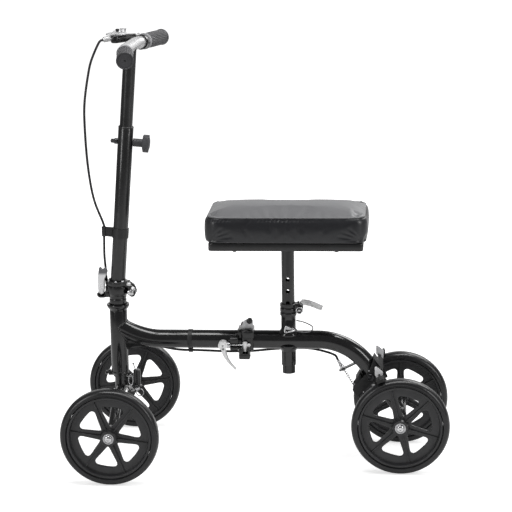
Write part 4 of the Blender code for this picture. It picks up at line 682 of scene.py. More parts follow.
# %% Plate and open tube
def slab(outline, low, high, place=None, edge=0.0006):
    """A plate in local XY from low to high. Each rim follows a quarter circle: it moves in
    by e (1 - sin t) and up by e (1 - cos t). Both faces close on the outline's middle."""
    outline = np.array(outline, float)
    step = np.roll(outline, -1, 0) - outline
    if (outline[:, 0] * step[:, 1] - outline[:, 1] * step[:, 0]).sum() < 0:
        outline = outline[::-1]
        step = np.roll(outline, -1, 0) - outline
    step = step / (np.linalg.norm(step, axis=1, keepdims=True) + 1e-12)
    outward = np.stack([step[:, 1], -step[:, 0]], -1)
    both = outward + np.roll(outward, 1, 0)
    corner = both / np.maximum((both ** 2).sum(1, keepdims=True) / 2, 0.3)
    t = np.linspace(0, pi / 2, 4)
    inset = edge * (1 - np.sin(t))
    rise = edge * (1 - np.cos(t))
    rings = outline[None] - corner[None] * np.concatenate([inset, inset[::-1]])[:, None, None]
    height = np.concatenate([low + rise, high - rise[::-1]])
    rings = np.concatenate([rings, np.broadcast_to(height[:, None, None],
                                                   (len(height), len(outline), 1))], -1)
    middle = outline.mean(0)
    caps = [np.broadcast_to([*middle, z], (1, len(outline), 3)) for z in (low, high)]
    shape = patch(np.concatenate([caps[0], rings, caps[1]]), close_cols=True)
    return moved(shape, place) if place is not None else shape


UPRIGHT = Matrix(((1, 0, 0, 0), (0, 0, 1, 0), (0, 1, 0, 0), (0, 0, 0, 1)))


def side_plate(outline, y0, y1, edge=0.0006):
    """A slab that stands in the XZ plane."""
    return slab(outline, y0, y1, UPRIGHT, edge)


def open_turn(outline, start, end, sides=48, place=None):
    """A closed outline (r, h) spun from one angle to another, with flat ends."""
    outline = np.array(outline, float)
    angle = np.linspace(start, end, sides)
    middle = np.broadcast_to(outline.mean(0), outline.shape)
    r = np.concatenate([middle[None], np.broadcast_to(outline, (sides, *outline.shape)),
                        middle[None]])
    a = np.concatenate([angle[:1], angle, angle[-1:]])[:, None]
    points = np.stack([r[..., 0] * np.cos(a), r[..., 0] * np.sin(a), r[..., 1]], -1)
    shape = patch(points, close_cols=True)
    return moved(shape, place) if place is not None else shape


def pipe(outer, bore, low, high, sides=56, place=None, edge=0.0005):
    """A tube with rounded mouths."""
    outline = rounded([(bore, low), (bore, high), (outer, high), (outer, low)], edge)
    return turned(outline, sides, place)


def round_bar(start, end, radius, sides=32):
    """A solid bar between two points, with dulled ends."""
    start, end = Vector(start), Vector(end)
    length = (end - start).length
    outline = [(0, 0), (radius, 0), (radius, length), (0, length)]
    return spun(outline, 0.0005, sides, along_axis(start, end - start))


# %% [markdown]
# ## Rear frame
# The main beam is one steel tube. A bender gives it a wide arc down to the rear axle, and it
# grows narrower towards the axle's sleeve that it is welded to. The seat tube stands
# through the beam with a weld skirt above and below, and a small arm holds the brake cable.

# %% Rear beam, seat tube and axle sleeve
BEAM_Z = 0.2533
BEAM_R = 0.0190
SEAT_X = 0.0600
SEAT_PLACE = Matrix.Translation((SEAT_X, 0, 0))
SEAT_TUBE_R = 0.0152
POST_R = 0.0133


def rear_beam_line():
    """A straight run, an arc x = c + R sin a and z = top - R (1 - cos a), and a smooth tail."""
    bend_x, bend_r = 0.1210, 0.1240
    straight = np.stack([np.linspace(-0.0150, bend_x - 0.004, 20), np.zeros(20),
                         np.full(20, BEAM_Z)], -1)
    a = np.radians(np.linspace(0, 61.5, 25))
    arc = np.stack([bend_x + bend_r * np.sin(a), 0 * a, BEAM_Z - bend_r * (1 - np.cos(a))], -1)
    tail = flow([arc[-1], (0.2440, 0, 0.1660), (0.2600, 0, 0.1450), (0.2895, 0, 0.1020)], 6)
    return resample(np.vstack([straight, arc, tail[1:]]), 96)


WIRE_FROM = Vector((0.1729, 0, 0.1903))
WIRE_ALONG = (Vector((0.1950, 0, 0.1530)) - WIRE_FROM).normalized()


def wire_point(distance):
    """A point on the line of the brake wire, measured from the stop arm."""
    return WIRE_FROM + WIRE_ALONG * distance


def stop_arm():
    root, tip = Vector((0.2000, 0, 0.2046)), Vector((0.1645, 0, 0.1868))
    along = (tip - root).normalized()
    place = Matrix.Translation(root) @ Matrix.Rotation(-atan2(along.z, along.x), 4, "Y")
    reach = (tip - root).length
    outline = rounded([(-0.002, -0.007), (reach, -0.007), (reach, 0.007), (-0.002, 0.007)], 0.002)
    return slab(outline, -0.0013, 0.0013, place, 0.0004)


def make_rear_frame():
    line = rear_beam_line()
    radius = np.interp(line[:, 0], [0.121, 0.230, 0.244, 0.260, 0.2895],
                       [0.0190, 0.0185, 0.0168, 0.0138, 0.0125])
    skirts = []
    for up in (-1, 1):
        outline = [(SEAT_TUBE_R - 0.0008, BEAM_Z + up * 0.0100), (0.0222, BEAM_Z + up * 0.0100),
                   (0.0214, BEAM_Z + up * 0.0150), (0.0182, BEAM_Z + up * 0.0195),
                   (0.0162, BEAM_Z + up * 0.0225), (SEAT_TUBE_R, BEAM_Z + up * 0.0240)]
        skirts.append(turned(rounded(outline, 0.0016), 64, SEAT_PLACE))
    slit_half = 0.0010 / SEAT_TUBE_R
    top = rounded([(0.0138, 0.2978), (0.0138, 0.3320), (SEAT_TUBE_R, 0.3320),
                   (SEAT_TUBE_R, 0.2978)], 0.0004)
    axle = along_axis((REAR_AXLE_X, 0, WHEEL_R), (0, 1, 0))
    shapes = [swept(line, circle(1, 64), scale=radius),
              pipe(SEAT_TUBE_R, 0.0138, 0.1999, 0.2980, place=SEAT_PLACE),
              open_turn(top, slit_half, 2 * pi - slit_half, 64, SEAT_PLACE),
              pipe(0.0125, 0.0043, -0.0790, 0.0790, place=axle), *skirts, stop_arm()]
    look("rear_frame", shapes, gloss_black)


make_rear_frame()
print("rear frame made")

# %% [markdown]
# ## Front frame
# The front half of the beam sweeps up into the head tube. A flat gusset under the joint
# stiffens it, and a ring hung from the beam by a strap guides the brake cable.

# %% Front beam, head tube and cable ring
HEAD_X = -0.2935
HEAD_PLACE = Matrix.Translation((HEAD_X, 0, 0))
HEAD_R = 0.0180
BEND_X = -0.2050
BEAM_RISE = 0.0285
RING_X = -0.1440
RING_Z = 0.2290


def front_beam_line():
    """Level as far as the bend, then z = beam + rise (u / run)^2, with u past the bend."""
    x = np.linspace(-0.0445, HEAD_X, 72)
    past = np.maximum(BEND_X - x, 0)
    z = BEAM_Z + BEAM_RISE * (past / (BEND_X - HEAD_X)) ** 2
    return np.stack([x, 0 * x, z], -1)


def weld_bead():
    """The ring where beam and head tube meet: y = r cos t, and the distance along the beam
    is the one at which (x - head)^2 + y^2 = R^2. The bead's thickness ripples."""
    slope = atan2(2 * BEAM_RISE, BEND_X - HEAD_X)
    t = np.linspace(0, 2 * pi, 241) - pi / 2
    beam_r = 0.0179
    y = beam_r * np.cos(t)
    reach = (np.sqrt(HEAD_R ** 2 - y ** 2) - beam_r * np.sin(t) * sin(slope)) / cos(slope)
    x = HEAD_X + reach * cos(slope) + beam_r * np.sin(t) * sin(slope)
    z = BEAM_Z + BEAM_RISE - reach * sin(slope) + beam_r * np.sin(t) * cos(slope)
    ripple = 1 + 0.28 * np.abs(np.sin(17 * t)) + 0.08 * np.sin(5 * t)
    return swept(np.stack([x, y, z], -1), circle(0.0017, 12), (0.8, 0.1, 0.6), ripple)


def cable_ring():
    """A rubber-lined ring with its strap round the beam."""
    ring = pipe(0.0045, 0.0028, -0.0045, 0.0045, 28,
                along_axis((RING_X, 0, RING_Z), (1, 0, 0)), 0.0006)
    strap = pipe(BEAM_R + 0.0011, BEAM_R - 0.0002, -0.0045, 0.0045, 64,
                 along_axis((RING_X, 0, BEAM_Z), (1, 0, 0)), 0.0003)
    return [ring, strap]


def make_front_frame():
    line = front_beam_line()
    radius = np.interp(-line[:, 0], [0.2500, 0.2935], [0.0190, 0.0179])
    gusset = [(HEAD_X + 0.010, 0.2300), (HEAD_X + 0.018, 0.2300), (-0.2400, 0.2350),
              (-0.2340, 0.2370), (-0.2340, 0.2500), (HEAD_X + 0.010, 0.2600)]
    head = pipe(HEAD_R, 0.0150, 0.1840, 0.3146, 64, HEAD_PLACE, 0.0008)
    shapes = [swept(line, circle(1, 64), scale=radius), head, side_plate(gusset, -0.004, 0.004),
              weld_bead()]
    look("front_frame", shapes, gloss_black)
    skin("cable_ring", cable_ring(), soft_black, "front_frame", "soft_black")


make_front_frame()
print("front frame made")

# %% [markdown]
# ## Fork
# One tube is bent into a low arch between the front wheels, and its ends are welded to short
# sleeves that hold the axle bolts. The steerer stands on top of it, and the lock's housing
# sits on a small plate behind.

# %% Fork
LOCK_X = -0.2587


def make_fork():
    half = np.array([(0.0, 0.1470), (0.0300, 0.1455), (0.0650, 0.1370), (0.0980, 0.1230),
                     (0.1270, 0.1075), (0.1450, 0.1010), (0.1615, WHEEL_R)])
    both = np.vstack([half[::-1] * (-1, 1), half[1:]])
    x = HEAD_X + 0.0025 * np.minimum(np.abs(both[:, 0]) / 0.10, 1)
    line = resample(flow(np.column_stack([x, both]), 10), 120)
    arch = swept(line, circle(0.0105, 48), reference=(1, 0, 0))
    steerer = round_bar((HEAD_X, 0, 0.1400), (HEAD_X, 0, 0.3420), 0.0118, 48)
    plate = slab([(HEAD_X + 0.008, -0.005), (HEAD_X + 0.030, -0.005),
                  (HEAD_X + 0.030, 0.005), (HEAD_X + 0.008, 0.005)], 0.1520, 0.1700)
    housing = rounded([(0.0033, 0.1490), (0.0098, 0.1490), (0.0098, 0.1520), (0.0076, 0.1532),
                       (0.0076, 0.1846), (0.0066, 0.1856), (0.0033, 0.1856)], 0.0006)
    housing = turned(housing, 48, Matrix.Translation((LOCK_X, 0, 0)))
    sleeves = [pipe(0.0122, 0.0043, 0.1375, 0.1635, 48,
                    along_axis((FRONT_AXLE_X, 0, WHEEL_R), (0, side, 0)), 0.0010)
               for side in (-1, 1)]
    look("steering_fork", [arch, steerer, plate, housing, *sleeves], gloss_black)


make_fork()
print("fork made")

# %% [markdown]
# ## Steering column
# The lower tube leans back a little. A clamp plate and knuckles at its foot let it fold, a
# bush in its mouth guides the upper tube, and a screw at the front runs in the slot of the
# upper tube so that the bar can't turn.

# %% Column sizes
COLUMN_TILT = radians(4.81)
COLUMN_FOOT_X = HEAD_X - 0.0004
COLUMN_FOOT_Z = 0.3560
BAR_Z = 0.8610
LOWER_R = 0.0154
LOWER_LENGTH = 0.3420
UPPER_R = 0.0130
BORE_R = 0.0114
KNOB_AT = 0.3130
FOLD_X = -0.2620
FOLD_Z = 0.3530
COLUMN = (Matrix.Translation((COLUMN_FOOT_X, 0, COLUMN_FOOT_Z))
          @ Matrix.Rotation(COLUMN_TILT, 4, "Y"))


def column_point(x, y, along):
    return COLUMN @ Vector((x, y, along))


def foot_outline(front, rear, radius):
    """A disc with a lug to the front and one to the rear."""
    a = np.radians(np.concatenate([np.linspace(25, 155, 24), np.linspace(205, 335, 24)]))
    disc = np.stack([radius * np.cos(a), radius * np.sin(a)], -1)
    return np.vstack([disc[:24], [(front, 0.0095), (front, -0.0095)], disc[24:],
                      [(rear, -0.0060), (rear, 0.0060)]])


def make_column_lower():
    bush = rounded([(UPPER_R + 0.0003, KNOB_AT + 0.007), (0.0147, KNOB_AT + 0.007),
                    (0.0147, LOWER_LENGTH - 0.0004), (LOWER_R + 0.0002, LOWER_LENGTH - 0.0004),
                    (LOWER_R + 0.0002, LOWER_LENGTH + 0.0030),
                    (UPPER_R + 0.0003, LOWER_LENGTH + 0.0040)], 0.0005)
    screw = [(0.0, 0.0120), (0.0022, 0.0120), (0.0022, 0.0148), (0.0060, 0.0148),
             (0.0060, 0.0215), (0.0045, 0.0225), (0.0040, 0.0290), (0.0, 0.0305)]
    ahead = COLUMN.to_3x3() @ Vector((-1, 0, 0))
    brace = [(-0.3196, 0.3850), (-0.3172, 0.3762), (-0.3112, 0.3792), (-0.3072, 0.3830),
             (-0.3040, 0.3700), (-0.3180, 0.3690)]
    ear = rounded([(FOLD_X - 0.0072, FOLD_Z), (FOLD_X + 0.0072, FOLD_Z), (-0.2568, 0.3600),
                   (-0.2600, 0.3668), (-0.2660, 0.3715), (-0.2780, 0.3770), (-0.2780, 0.3690),
                   (-0.2690, 0.3650)], 0.0016)
    shapes = [pipe(LOWER_R, 0.0143, 0.0130, LOWER_LENGTH, 64, COLUMN),
              turned(bush, 64, COLUMN),
              spun(screw, 0.0006, 32, along_axis(column_point(0, 0, KNOB_AT), ahead)),
              slab(foot_outline(-0.0225, 0.0262, 0.0218), 0.3686, 0.3776, HEAD_PLACE, 0.0013),
              side_plate(brace, -0.0030, 0.0030, 0.0008)]
    for low, high in ((-0.0140, -0.0064), (0.0064, 0.0140)):
        shapes.append(round_bar((FOLD_X, low, FOLD_Z), (FOLD_X, high, FOLD_Z), 0.0072, 40))
        shapes.append(side_plate(ear, low, high, 0.0004))
    look("column_lower", shapes, satin_black)


# %% [markdown]
# The upper tube's mouth is coped, cut on a curve so that it fits under the round handlebar.
# Its slot runs along the front.

# %% Upper tube with a coped end
def coped(outer, bore, low, top, bar_r):
    """The end's height is top - sqrt(r^2 - x^2), where x = R cos a lies across the bar."""
    sides = 72
    angle = np.linspace(0, 2 * pi, sides, endpoint=False)
    rows = []
    for radius, high in ((bore, False), (bore, True), (outer - 0.0003, True), (outer, True),
                         (outer, False)):
        across = radius * np.cos(angle)
        end = top - np.sqrt(np.maximum(bar_r ** 2 - across ** 2, 0))
        if radius == outer and high:
            end = end - 0.0003
        height = end if high else np.full(sides, low)
        rows.append(np.stack([across, radius * np.sin(angle), height], -1))
    return patch(np.array(rows), close_rows=True, close_cols=True)


def make_column_upper():
    slot_low, slot_high = KNOB_AT - 0.1540, KNOB_AT + 0.0740
    half = 0.0030 / UPPER_R
    slotted = [(BORE_R, slot_low), (BORE_R, slot_high), (UPPER_R, slot_high),
               (UPPER_R, slot_low)]
    top = (BAR_Z - COLUMN_FOOT_Z) / cos(COLUMN_TILT)
    shapes = [pipe(UPPER_R, BORE_R, 0.1300, slot_low, 72, COLUMN),
              open_turn(slotted, -pi + half, pi - half, 72, COLUMN),
              moved(coped(UPPER_R, BORE_R, slot_high, top, 0.0128), COLUMN)]
    look("column_upper", shapes, satin_black)


make_column_lower()
make_column_upper()
print("column made")

# %% [markdown]
# ## Seat post and tray
# The post is a tube with five cross holes for the lock pin, drilled right through. It carries
# the tray that the cushion is screwed to.

# %% A tube with cross holes
HOLE_PITCH = 0.0248
HOLE_R = 0.0045


def pierced(radius, low, high, holes):
    """A tube surface whose grid has a ring of faces round each hole, on both sides. In the
    unrolled plane a hole's edge is its centre + r (cos t, sin t), with t the direction of
    each border point of the block of cells that the hole takes."""
    cols, rows_per = 64, 10
    cell = HOLE_PITCH / rows_per
    first, last = holes[0] - HOLE_PITCH / 2, holes[-1] + HOLE_PITCH / 2
    count_low = max(1, round((first - low) / cell))
    count_high = max(1, round((high - last) / cell))
    z = np.concatenate([np.linspace(low, first, count_low, endpoint=False),
                        np.linspace(first, last, rows_per * len(holes), endpoint=False),
                        np.linspace(last, high, count_high + 1)])
    angle = np.linspace(0, 2 * pi, cols, endpoint=False)
    a, h = np.meshgrid(angle, z)
    points, faces = patch(np.stack([a, h, 0 * a], -1), close_cols=True)
    fi, fj = np.divmod(np.arange(len(faces)), cols)
    keep = np.ones(len(faces), bool)
    reach_c, reach_r = 6, 4
    rings = []
    for k in range(len(holes)):
        for middle in (cols // 4, 3 * cols // 4):
            row = count_low + rows_per * k + rows_per // 2
            keep &= ~((np.abs(fi + 0.5 - row) < reach_r) & (np.abs(fj + 0.5 - middle) < reach_c))
            i = np.concatenate([np.full(2 * reach_c, -reach_r), np.arange(-reach_r, reach_r),
                                np.full(2 * reach_c, reach_r), np.arange(reach_r, -reach_r, -1)])
            j = np.concatenate([np.arange(-reach_c, reach_c), np.full(2 * reach_r, reach_c),
                                np.arange(reach_c, -reach_c, -1), np.full(2 * reach_r, -reach_c)])
            du = j * 2 * pi / cols * POST_R
            dv = z[row + i] - z[row]
            heading = np.arctan2(dv, du)
            rim = np.stack([middle * 2 * pi / cols + HOLE_R * np.cos(heading) / POST_R,
                            z[row] + HOLE_R * np.sin(heading)], -1)
            border = np.stack([angle[middle + j], z[row + i]], -1)
            mix = np.linspace(0, 1, 4)[:, None, None]
            rings.append(border + (rim - border) * mix)
    faces = faces[keep]
    shapes = [(roll_up(points[:, :2], radius), faces)]
    for ring in rings:
        flat, quads = patch(np.concatenate([ring, ring[:, :, :1] * 0], -1), close_cols=True)
        shapes.append((roll_up(flat[:, :2], radius), quads))
    return shapes, rings


def roll_up(flat, radius):
    """(angle, z) wraps round to (R cos a, R sin a, z)."""
    return np.stack([radius * np.cos(flat[:, 0]), radius * np.sin(flat[:, 0]), flat[:, 1]], -1)


def make_post():
    low, high = 0.1826, 0.4560
    holes = [0.3833 - HOLE_PITCH * k for k in range(4, -1, -1)]
    outside, rims = pierced(POST_R, low, high, holes)
    shapes = outside + pierced(BORE_R, low, high, holes)[0]
    for ring in rims:
        wall = np.stack([roll_up(ring[-1], radius) for radius in (BORE_R, POST_R)])
        shapes.append(patch(wall, close_cols=True))
    angle = np.linspace(0, 2 * pi, 64, endpoint=False)
    for height in (low, high):
        edge = np.stack([angle, np.full(64, height)], -1)
        mouth = np.stack([roll_up(edge, radius) for radius in (BORE_R, POST_R)])
        shapes.append(patch(mouth, close_cols=True))
    flange = [(0, 0.4552), (0.0334, 0.4552), (0.0340, 0.4582), (0, 0.4582)]
    shapes.append(spun(flange, 0.0006, 72))
    look("seat_post", [moved(shape, SEAT_PLACE) for shape in shapes], satin_black)


# %% [markdown]
# The tray under the cushion is drawn as one plate with well rounded edges, and the heads of
# four screws show on its underside.

# %% Tray
def make_tray():
    outline = rounded([(-0.0954, -0.080), (0.2161, -0.080), (0.2161, 0.080), (-0.0954, 0.080)],
                      0.009, steps=8)
    shapes = [slab(outline, 0.4585, 0.4748, None, 0.0022)]
    look("seat_tray", shapes, satin_black)
    head = [(0.0, 0.4550), (0.0036, 0.4558), (0.0050, 0.4578), (0.0050, 0.4590), (0.0, 0.4590)]
    screws = [spun(head, 0.0006, 32, Matrix.Translation((x, y, 0)))
              for x in (-0.0425, 0.1624) for y in (-0.070, 0.070)]
    skin("tray_screws", screws, black_steel, "seat", "black_hardware")


make_post()
make_tray()
print("post and tray made")

# %% [markdown]
# ## Cushion
# Foam on a board is wrapped in black vinyl. A side band is sewn to a top panel, and the
# thread pulls the seam in, so the top swells above it and the side swells below it. The vinyl
# has a fine grain; the top panel is more matt than the band, and its paler colour is painted
# sheen, the light that its grazing face reflects.

# %% Vinyl
def upholstery(name):
    """Dark vinyl on the band; above the seam, more matt vinyl whose paler colour is painted
    sheen.
    """
    # The top panel's pale tone is painted sheen: it stands in for light reflected at a grazing
    # angle.
    band, painted_sheen_panel = (0.0105, 0.0108, 0.0132), (0.1200, 0.1210, 0.1260)
    material, tree, links, shader = new_finish(name, band, 0.30, 0.0, 0.10, 0.25)
    shader.inputs["Sheen Weight"].default_value = 0.16
    shader.inputs["Sheen Roughness"].default_value = 0.45
    # The height mask puts the painted sheen tone above the seam and also makes the panel more
    # matt.
    above_seam = tone_by_height(material, PAD_SEAM_Z - 0.0006, PAD_SEAM_Z + 0.0020, band, painted_sheen_panel)
    matt = tree.new("ShaderNodeMath")
    matt.operation = "MULTIPLY_ADD"
    matt.inputs[1].default_value = 0.20
    worn = noise_value(tree, links, 16.0, 5.0)
    links.new(above_seam, matt.inputs[0])
    links.new(spread(tree, links, worn, 0.27, 0.37), matt.inputs[2])
    links.new(matt.outputs[0], shader.inputs["Roughness"])
    cells = tree.new("ShaderNodeTexVoronoi")
    cells.inputs["Scale"].default_value = 560.0
    links.new(object_place(tree), cells.inputs["Vector"])
    relief(tree, links, cells.outputs["Distance"], shader, 0.45, 0.00020)
    return material


PAD_SEAM_Z = 0.5262
vinyl = upholstery("vinyl")
# The two tones are the band's dark vinyl and the top panel's painted sheen.
print("vinyl: two tones that meet at", PAD_SEAM_Z)

# %% [markdown]
# The cushion's skin is a side band, sampled round the pad and up from the board to the top
# panel's rim, and two panels that fill its upper and lower edges. A panel is a Coons surface:
# each inner point mixes the four border curves by its distance from them.

# %% Cushion outline and panels
PAD_X0 = -0.1055
PAD_X1 = 0.2270
PAD_HALF_Y = 0.0890
PAD_BOTTOM_Z = 0.4752
PAD_RIM_Z = 0.5300
PAD_CROWN = 0.0080
PAD_CORNER_R = 0.0300
PAD_COLS = 168
PAD_ROWS = 92


def pad_outline(inset):
    """A rounded rectangle, inset by so much, that starts at the middle of its first corner;
    each of its four sides has its own even number of samples."""
    x, y = (PAD_X1 - PAD_X0) / 2 - inset, PAD_HALF_Y - inset
    r = PAD_CORNER_R - inset * 0.6
    a = np.radians(np.linspace(225, 270, 12))
    half = np.stack([-x + r + r * np.cos(a), -y + r + r * np.sin(a)], -1)
    near = np.vstack([half, half[::-1] * (-1, 1)])
    b = np.radians(np.linspace(-45, 0, 12))
    half = np.stack([x - r + r * np.cos(b), -y + r + r * np.sin(b)], -1)
    right = np.vstack([half, half[::-1] * (1, -1)])
    near = resample(near, PAD_COLS + 1)[:-1]
    right = resample(right, PAD_ROWS + 1)[:-1]
    return np.vstack([near, right, -near, -right])


def coons(ring):
    """P(u, v) = sides mixed by v + sides mixed by u - corners mixed by u and v."""
    m, n = PAD_COLS, PAD_ROWS
    near = ring[:m + 1]
    right = ring[m:m + n + 1]
    far = ring[m + n:2 * m + n + 1][::-1]
    left = np.vstack([ring[2 * m + n:], ring[:1]])[::-1]
    u = np.linspace(0, 1, m + 1)[:, None, None]
    v = np.linspace(0, 1, n + 1)[None, :, None]
    along = (1 - v) * near[:, None] + v * far[:, None]
    across = (1 - u) * left[None] + u * right[None]
    corners = ((1 - u) * (1 - v) * near[0] + u * (1 - v) * near[-1]
               + (1 - u) * v * far[0] + u * v * far[-1])
    return along + across - corners


def pad_base():
    """The band's rows of (inset, height), then the crown over the top panel:
    z = rim + crown (1 - |x|^5)(1 - |y|^2.4), with x and y from -1 to 1 across the panel."""
    levels = resample(flow([
        (0.0105, PAD_BOTTOM_Z), (0.0052, PAD_BOTTOM_Z + 0.0014), (0.0032, PAD_BOTTOM_Z + 0.0070),
        (0.0024, PAD_BOTTOM_Z + 0.0180), (0.0024, PAD_BOTTOM_Z + 0.0300),
        (0.0030, PAD_BOTTOM_Z + 0.0420), (0.0046, PAD_SEAM_Z - 0.0038)], 8), 40)
    welt = resample(flow([
        (0.0046, PAD_SEAM_Z - 0.0038), (0.0062, PAD_SEAM_Z - 0.0016), (0.0074, PAD_SEAM_Z),
        (0.0068, PAD_SEAM_Z + 0.0012), (0.0078, PAD_SEAM_Z + 0.0026),
        (0.0125, PAD_RIM_Z)], 8), 22)
    rows = np.vstack([levels[:-1], welt])
    band = np.array([pad_outline(inset) for inset in rows[:, 0]])
    band = np.concatenate([band, np.broadcast_to(rows[:, None, 1:], (*band.shape[:2], 1))], -1)
    top = coons(band[-1, :, :2])
    across = top / np.abs(top).max((0, 1))
    swell = (1 - np.abs(across[..., 0]) ** 5) * (1 - np.abs(across[..., 1]) ** 2.4)
    top = np.concatenate([top, (PAD_RIM_Z + PAD_CROWN * swell)[..., None]], -1)
    under = coons(band[0, :, :2])
    under = np.concatenate([under, np.full((*under.shape[:2], 1), PAD_BOTTOM_Z)], -1)
    return band, top, under


# %% [markdown]
# Cloth physics adds to the swell of the band and the top panel. A coarser sample of the same
# grids is held at the board and at the seam and pressed from inside for twenty frames; the
# vinyl is cut 0.3 % larger than the block, so it can wrinkle. How far each point moved is
# limited to 5 mm, which holds back some of the top panel, and is then spread over the fine
# grids.

# %% Press the vinyl from inside
PRESS_FRAMES = 20
FARTHEST = 0.0050


def held_points(grid):
    """True within 4 mm of the board and within 2.2 mm of the seam's height."""
    z = grid[:, :, 2]
    return (z < PAD_BOTTOM_Z + 0.004) | (np.abs(z - PAD_SEAM_Z) < 0.0022)


def facing_out(points, faces):
    """The faces, turned round if most of them look towards the middle of the pad."""
    corners = points[faces]
    normals = np.cross(corners[:, 2] - corners[:, 0], corners[:, 3] - corners[:, 1])
    away = corners.mean(1) - (0, 0, (PAD_BOTTOM_Z + PAD_RIM_Z) / 2)
    return points, faces if ((away * normals).sum(1) > 0).mean() > 0.5 else faces[:, ::-1]


def pressed(grids, closed):
    """How far each grid point moves when the joined grids are simulated as one cloth.
    Pressure pushes along a face's normal, so all faces have to look outward."""
    shapes = [facing_out(*patch(grid, close_cols=shut)) for grid, shut in zip(grids, closed)]
    points, faces = stacked(shapes)
    first, back = np.unique(np.round(points, 6), axis=0, return_index=True,
                            return_inverse=True)[1:]
    back = back.reshape(-1)
    piece = new_object("pressed_vinyl", new_mesh("pressed_vinyl", points[first], back[faces]))
    held = np.concatenate([held_points(grid).ravel() for grid in grids])[first]
    group = piece.vertex_groups.new(name="held")
    group.add(np.flatnonzero(held).tolist(), 1.0, "REPLACE")
    cloth = piece.modifiers.new("cloth", "CLOTH")
    cloth.settings.quality = 6
    cloth.settings.mass = 0.25
    cloth.settings.tension_stiffness = 25.0
    cloth.settings.compression_stiffness = 12.0
    cloth.settings.shear_stiffness = 6.0
    cloth.settings.bending_stiffness = 0.6
    cloth.settings.shrink_min = -0.003
    cloth.settings.use_pressure = True
    cloth.settings.uniform_pressure_force = 2.0
    cloth.settings.effector_weights.gravity = 0.0
    cloth.settings.vertex_group_mass = "held"
    cloth.point_cache.frame_start = 1
    cloth.point_cache.frame_end = PRESS_FRAMES
    scene = bpy.context.scene
    for step in range(1, PRESS_FRAMES + 1):
        scene.frame_set(step)
    simulated = piece.evaluated_get(bpy.context.evaluated_depsgraph_get())
    vertices = simulated.to_mesh().vertices
    after = np.empty(len(vertices) * 3)
    vertices.foreach_get("co", after)
    shift = after.reshape(-1, 3) - points[first]
    simulated.to_mesh_clear()
    bpy.data.objects.remove(piece)
    scene.frame_set(1)
    length = np.linalg.norm(shift, axis=1, keepdims=True)
    shift *= np.minimum(1, FARTHEST / np.maximum(length, 1e-9))
    print("vinyl pressed: moved up to %.1f mm, %.0f %% of it held back to %.0f mm"
          % (1000 * length.max(), 100 * (length > FARTHEST).mean(), 1000 * FARTHEST))
    ends = np.cumsum([len(shape[0]) for shape in shapes])[:-1]
    return [part.reshape(grid.shape) for part, grid in zip(np.split(shift[back], ends), grids)]


def refined(coarse, fine_shape, rows_at, cols_at, closed):
    """Values of a coarse grid read at every fine row and column, linear between samples."""
    if closed:
        coarse = np.concatenate([coarse, coarse[:, :1]], 1)
    rows = np.arange(fine_shape[0])
    cols = np.arange(fine_shape[1])
    i = np.interp(rows, rows_at, np.arange(len(rows_at)))
    j = np.interp(cols, cols_at, np.arange(len(cols_at)))
    i0 = np.minimum(i.astype(int), coarse.shape[0] - 2)
    j0 = np.minimum(j.astype(int), coarse.shape[1] - 2)
    s = (i - i0)[:, None, None]
    t = (j - j0)[None, :, None]
    near, far = coarse[i0], coarse[i0 + 1]
    return ((1 - s) * (1 - t) * near[:, j0] + (1 - s) * t * near[:, j0 + 1]
            + s * (1 - t) * far[:, j0] + s * t * far[:, j0 + 1])


def softened(grid, closed):
    """Twice, each inner value moves to a mean of its four neighbours and, counted twice,
    itself."""
    for _ in range(2):
        if closed:
            beside = np.roll(grid, 1, 1) + np.roll(grid, -1, 1)
            grid[1:-1] = (2 * grid[1:-1] + grid[:-2] + grid[2:] + beside[1:-1]) / 6
        else:
            inner = grid[1:-1, 1:-1]
            grid[1:-1, 1:-1] = (2 * inner + grid[:-2, 1:-1] + grid[2:, 1:-1]
                                + grid[1:-1, :-2] + grid[1:-1, 2:]) / 6
    return grid


# %% [markdown]
# Sewing leaves its own marks on the fine grid: a row of small puckers under the seam, an
# upright join in the band in line with the post, and, on the near and the rear side, folds
# that fan out from the lower corners, where spare vinyl is gathered under the board.

# %% Sewing marks
MIDDLE_ROW = 20
JOIN_X = -0.0020
CORNER_FOLDS = ((0.058, 0.016, 0.0032, 0.0021), (0.050, 0.027, 0.0028, 0.0018),
                (0.034, 0.034, 0.0026, 0.0017), (0.040, 0.006, 0.0026, 0.0019))


def fold(points, start, end, width, depth):
    """A soft groove along a segment: depth exp(-(distance / width)^2), fading at its ends."""
    start, end = np.array(start), np.array(end)
    step = end - start
    along = ((points - start) @ step) / (step @ step)
    nearest = start + np.clip(along, 0, 1)[..., None] * step
    away = np.linalg.norm(points - nearest, axis=-1)
    fade = np.clip(np.minimum(along * 5 + 0.4, (1 - along) * 2.0), 0, 1)
    return depth * np.exp(-(away / width) ** 2) * fade


def sewing_marks(band):
    """How far the band is pulled in at each point, seen as a flat strip (walked, height)."""
    ring = band[MIDDLE_ROW, :, :2]
    walked = walk(ring)
    z = band[:, :, 2]
    under_seam = np.exp(-((z - PAD_SEAM_Z + 0.0042) / 0.0022) ** 2)
    pull = 0.5 + 0.5 * np.sin(2 * pi * walked / 0.0078 + 1.7 * np.sin(walked * 27))
    uneven = 0.55 + 0.45 * np.sin(walked * 41 + 2.0 * np.sin(walked * 13))
    marks = under_seam * pull * uneven * 0.0015
    strip = np.stack([np.broadcast_to(walked, z.shape), z], -1)
    join = walked[np.argmin(np.abs(ring[:PAD_COLS, 0] - JOIN_X))]
    marks += 0.0006 * np.exp(-((strip[..., 0] - join) / 0.0009) ** 2) * (z < PAD_SEAM_Z - 0.002)
    near, side = walked[PAD_COLS], walked[PAD_COLS + PAD_ROWS]
    for corner, turn in ((0.0, 1), (near, -1), (near, 1), (side, -1)):
        for reach, rise, width, depth in CORNER_FOLDS:
            foot = (corner + turn * 0.004, PAD_BOTTOM_Z + 0.004 + 0.15 * rise)
            tip = (corner + turn * reach, PAD_BOTTOM_Z + rise)
            marks += fold(strip, foot, tip, width, depth)
    return marks


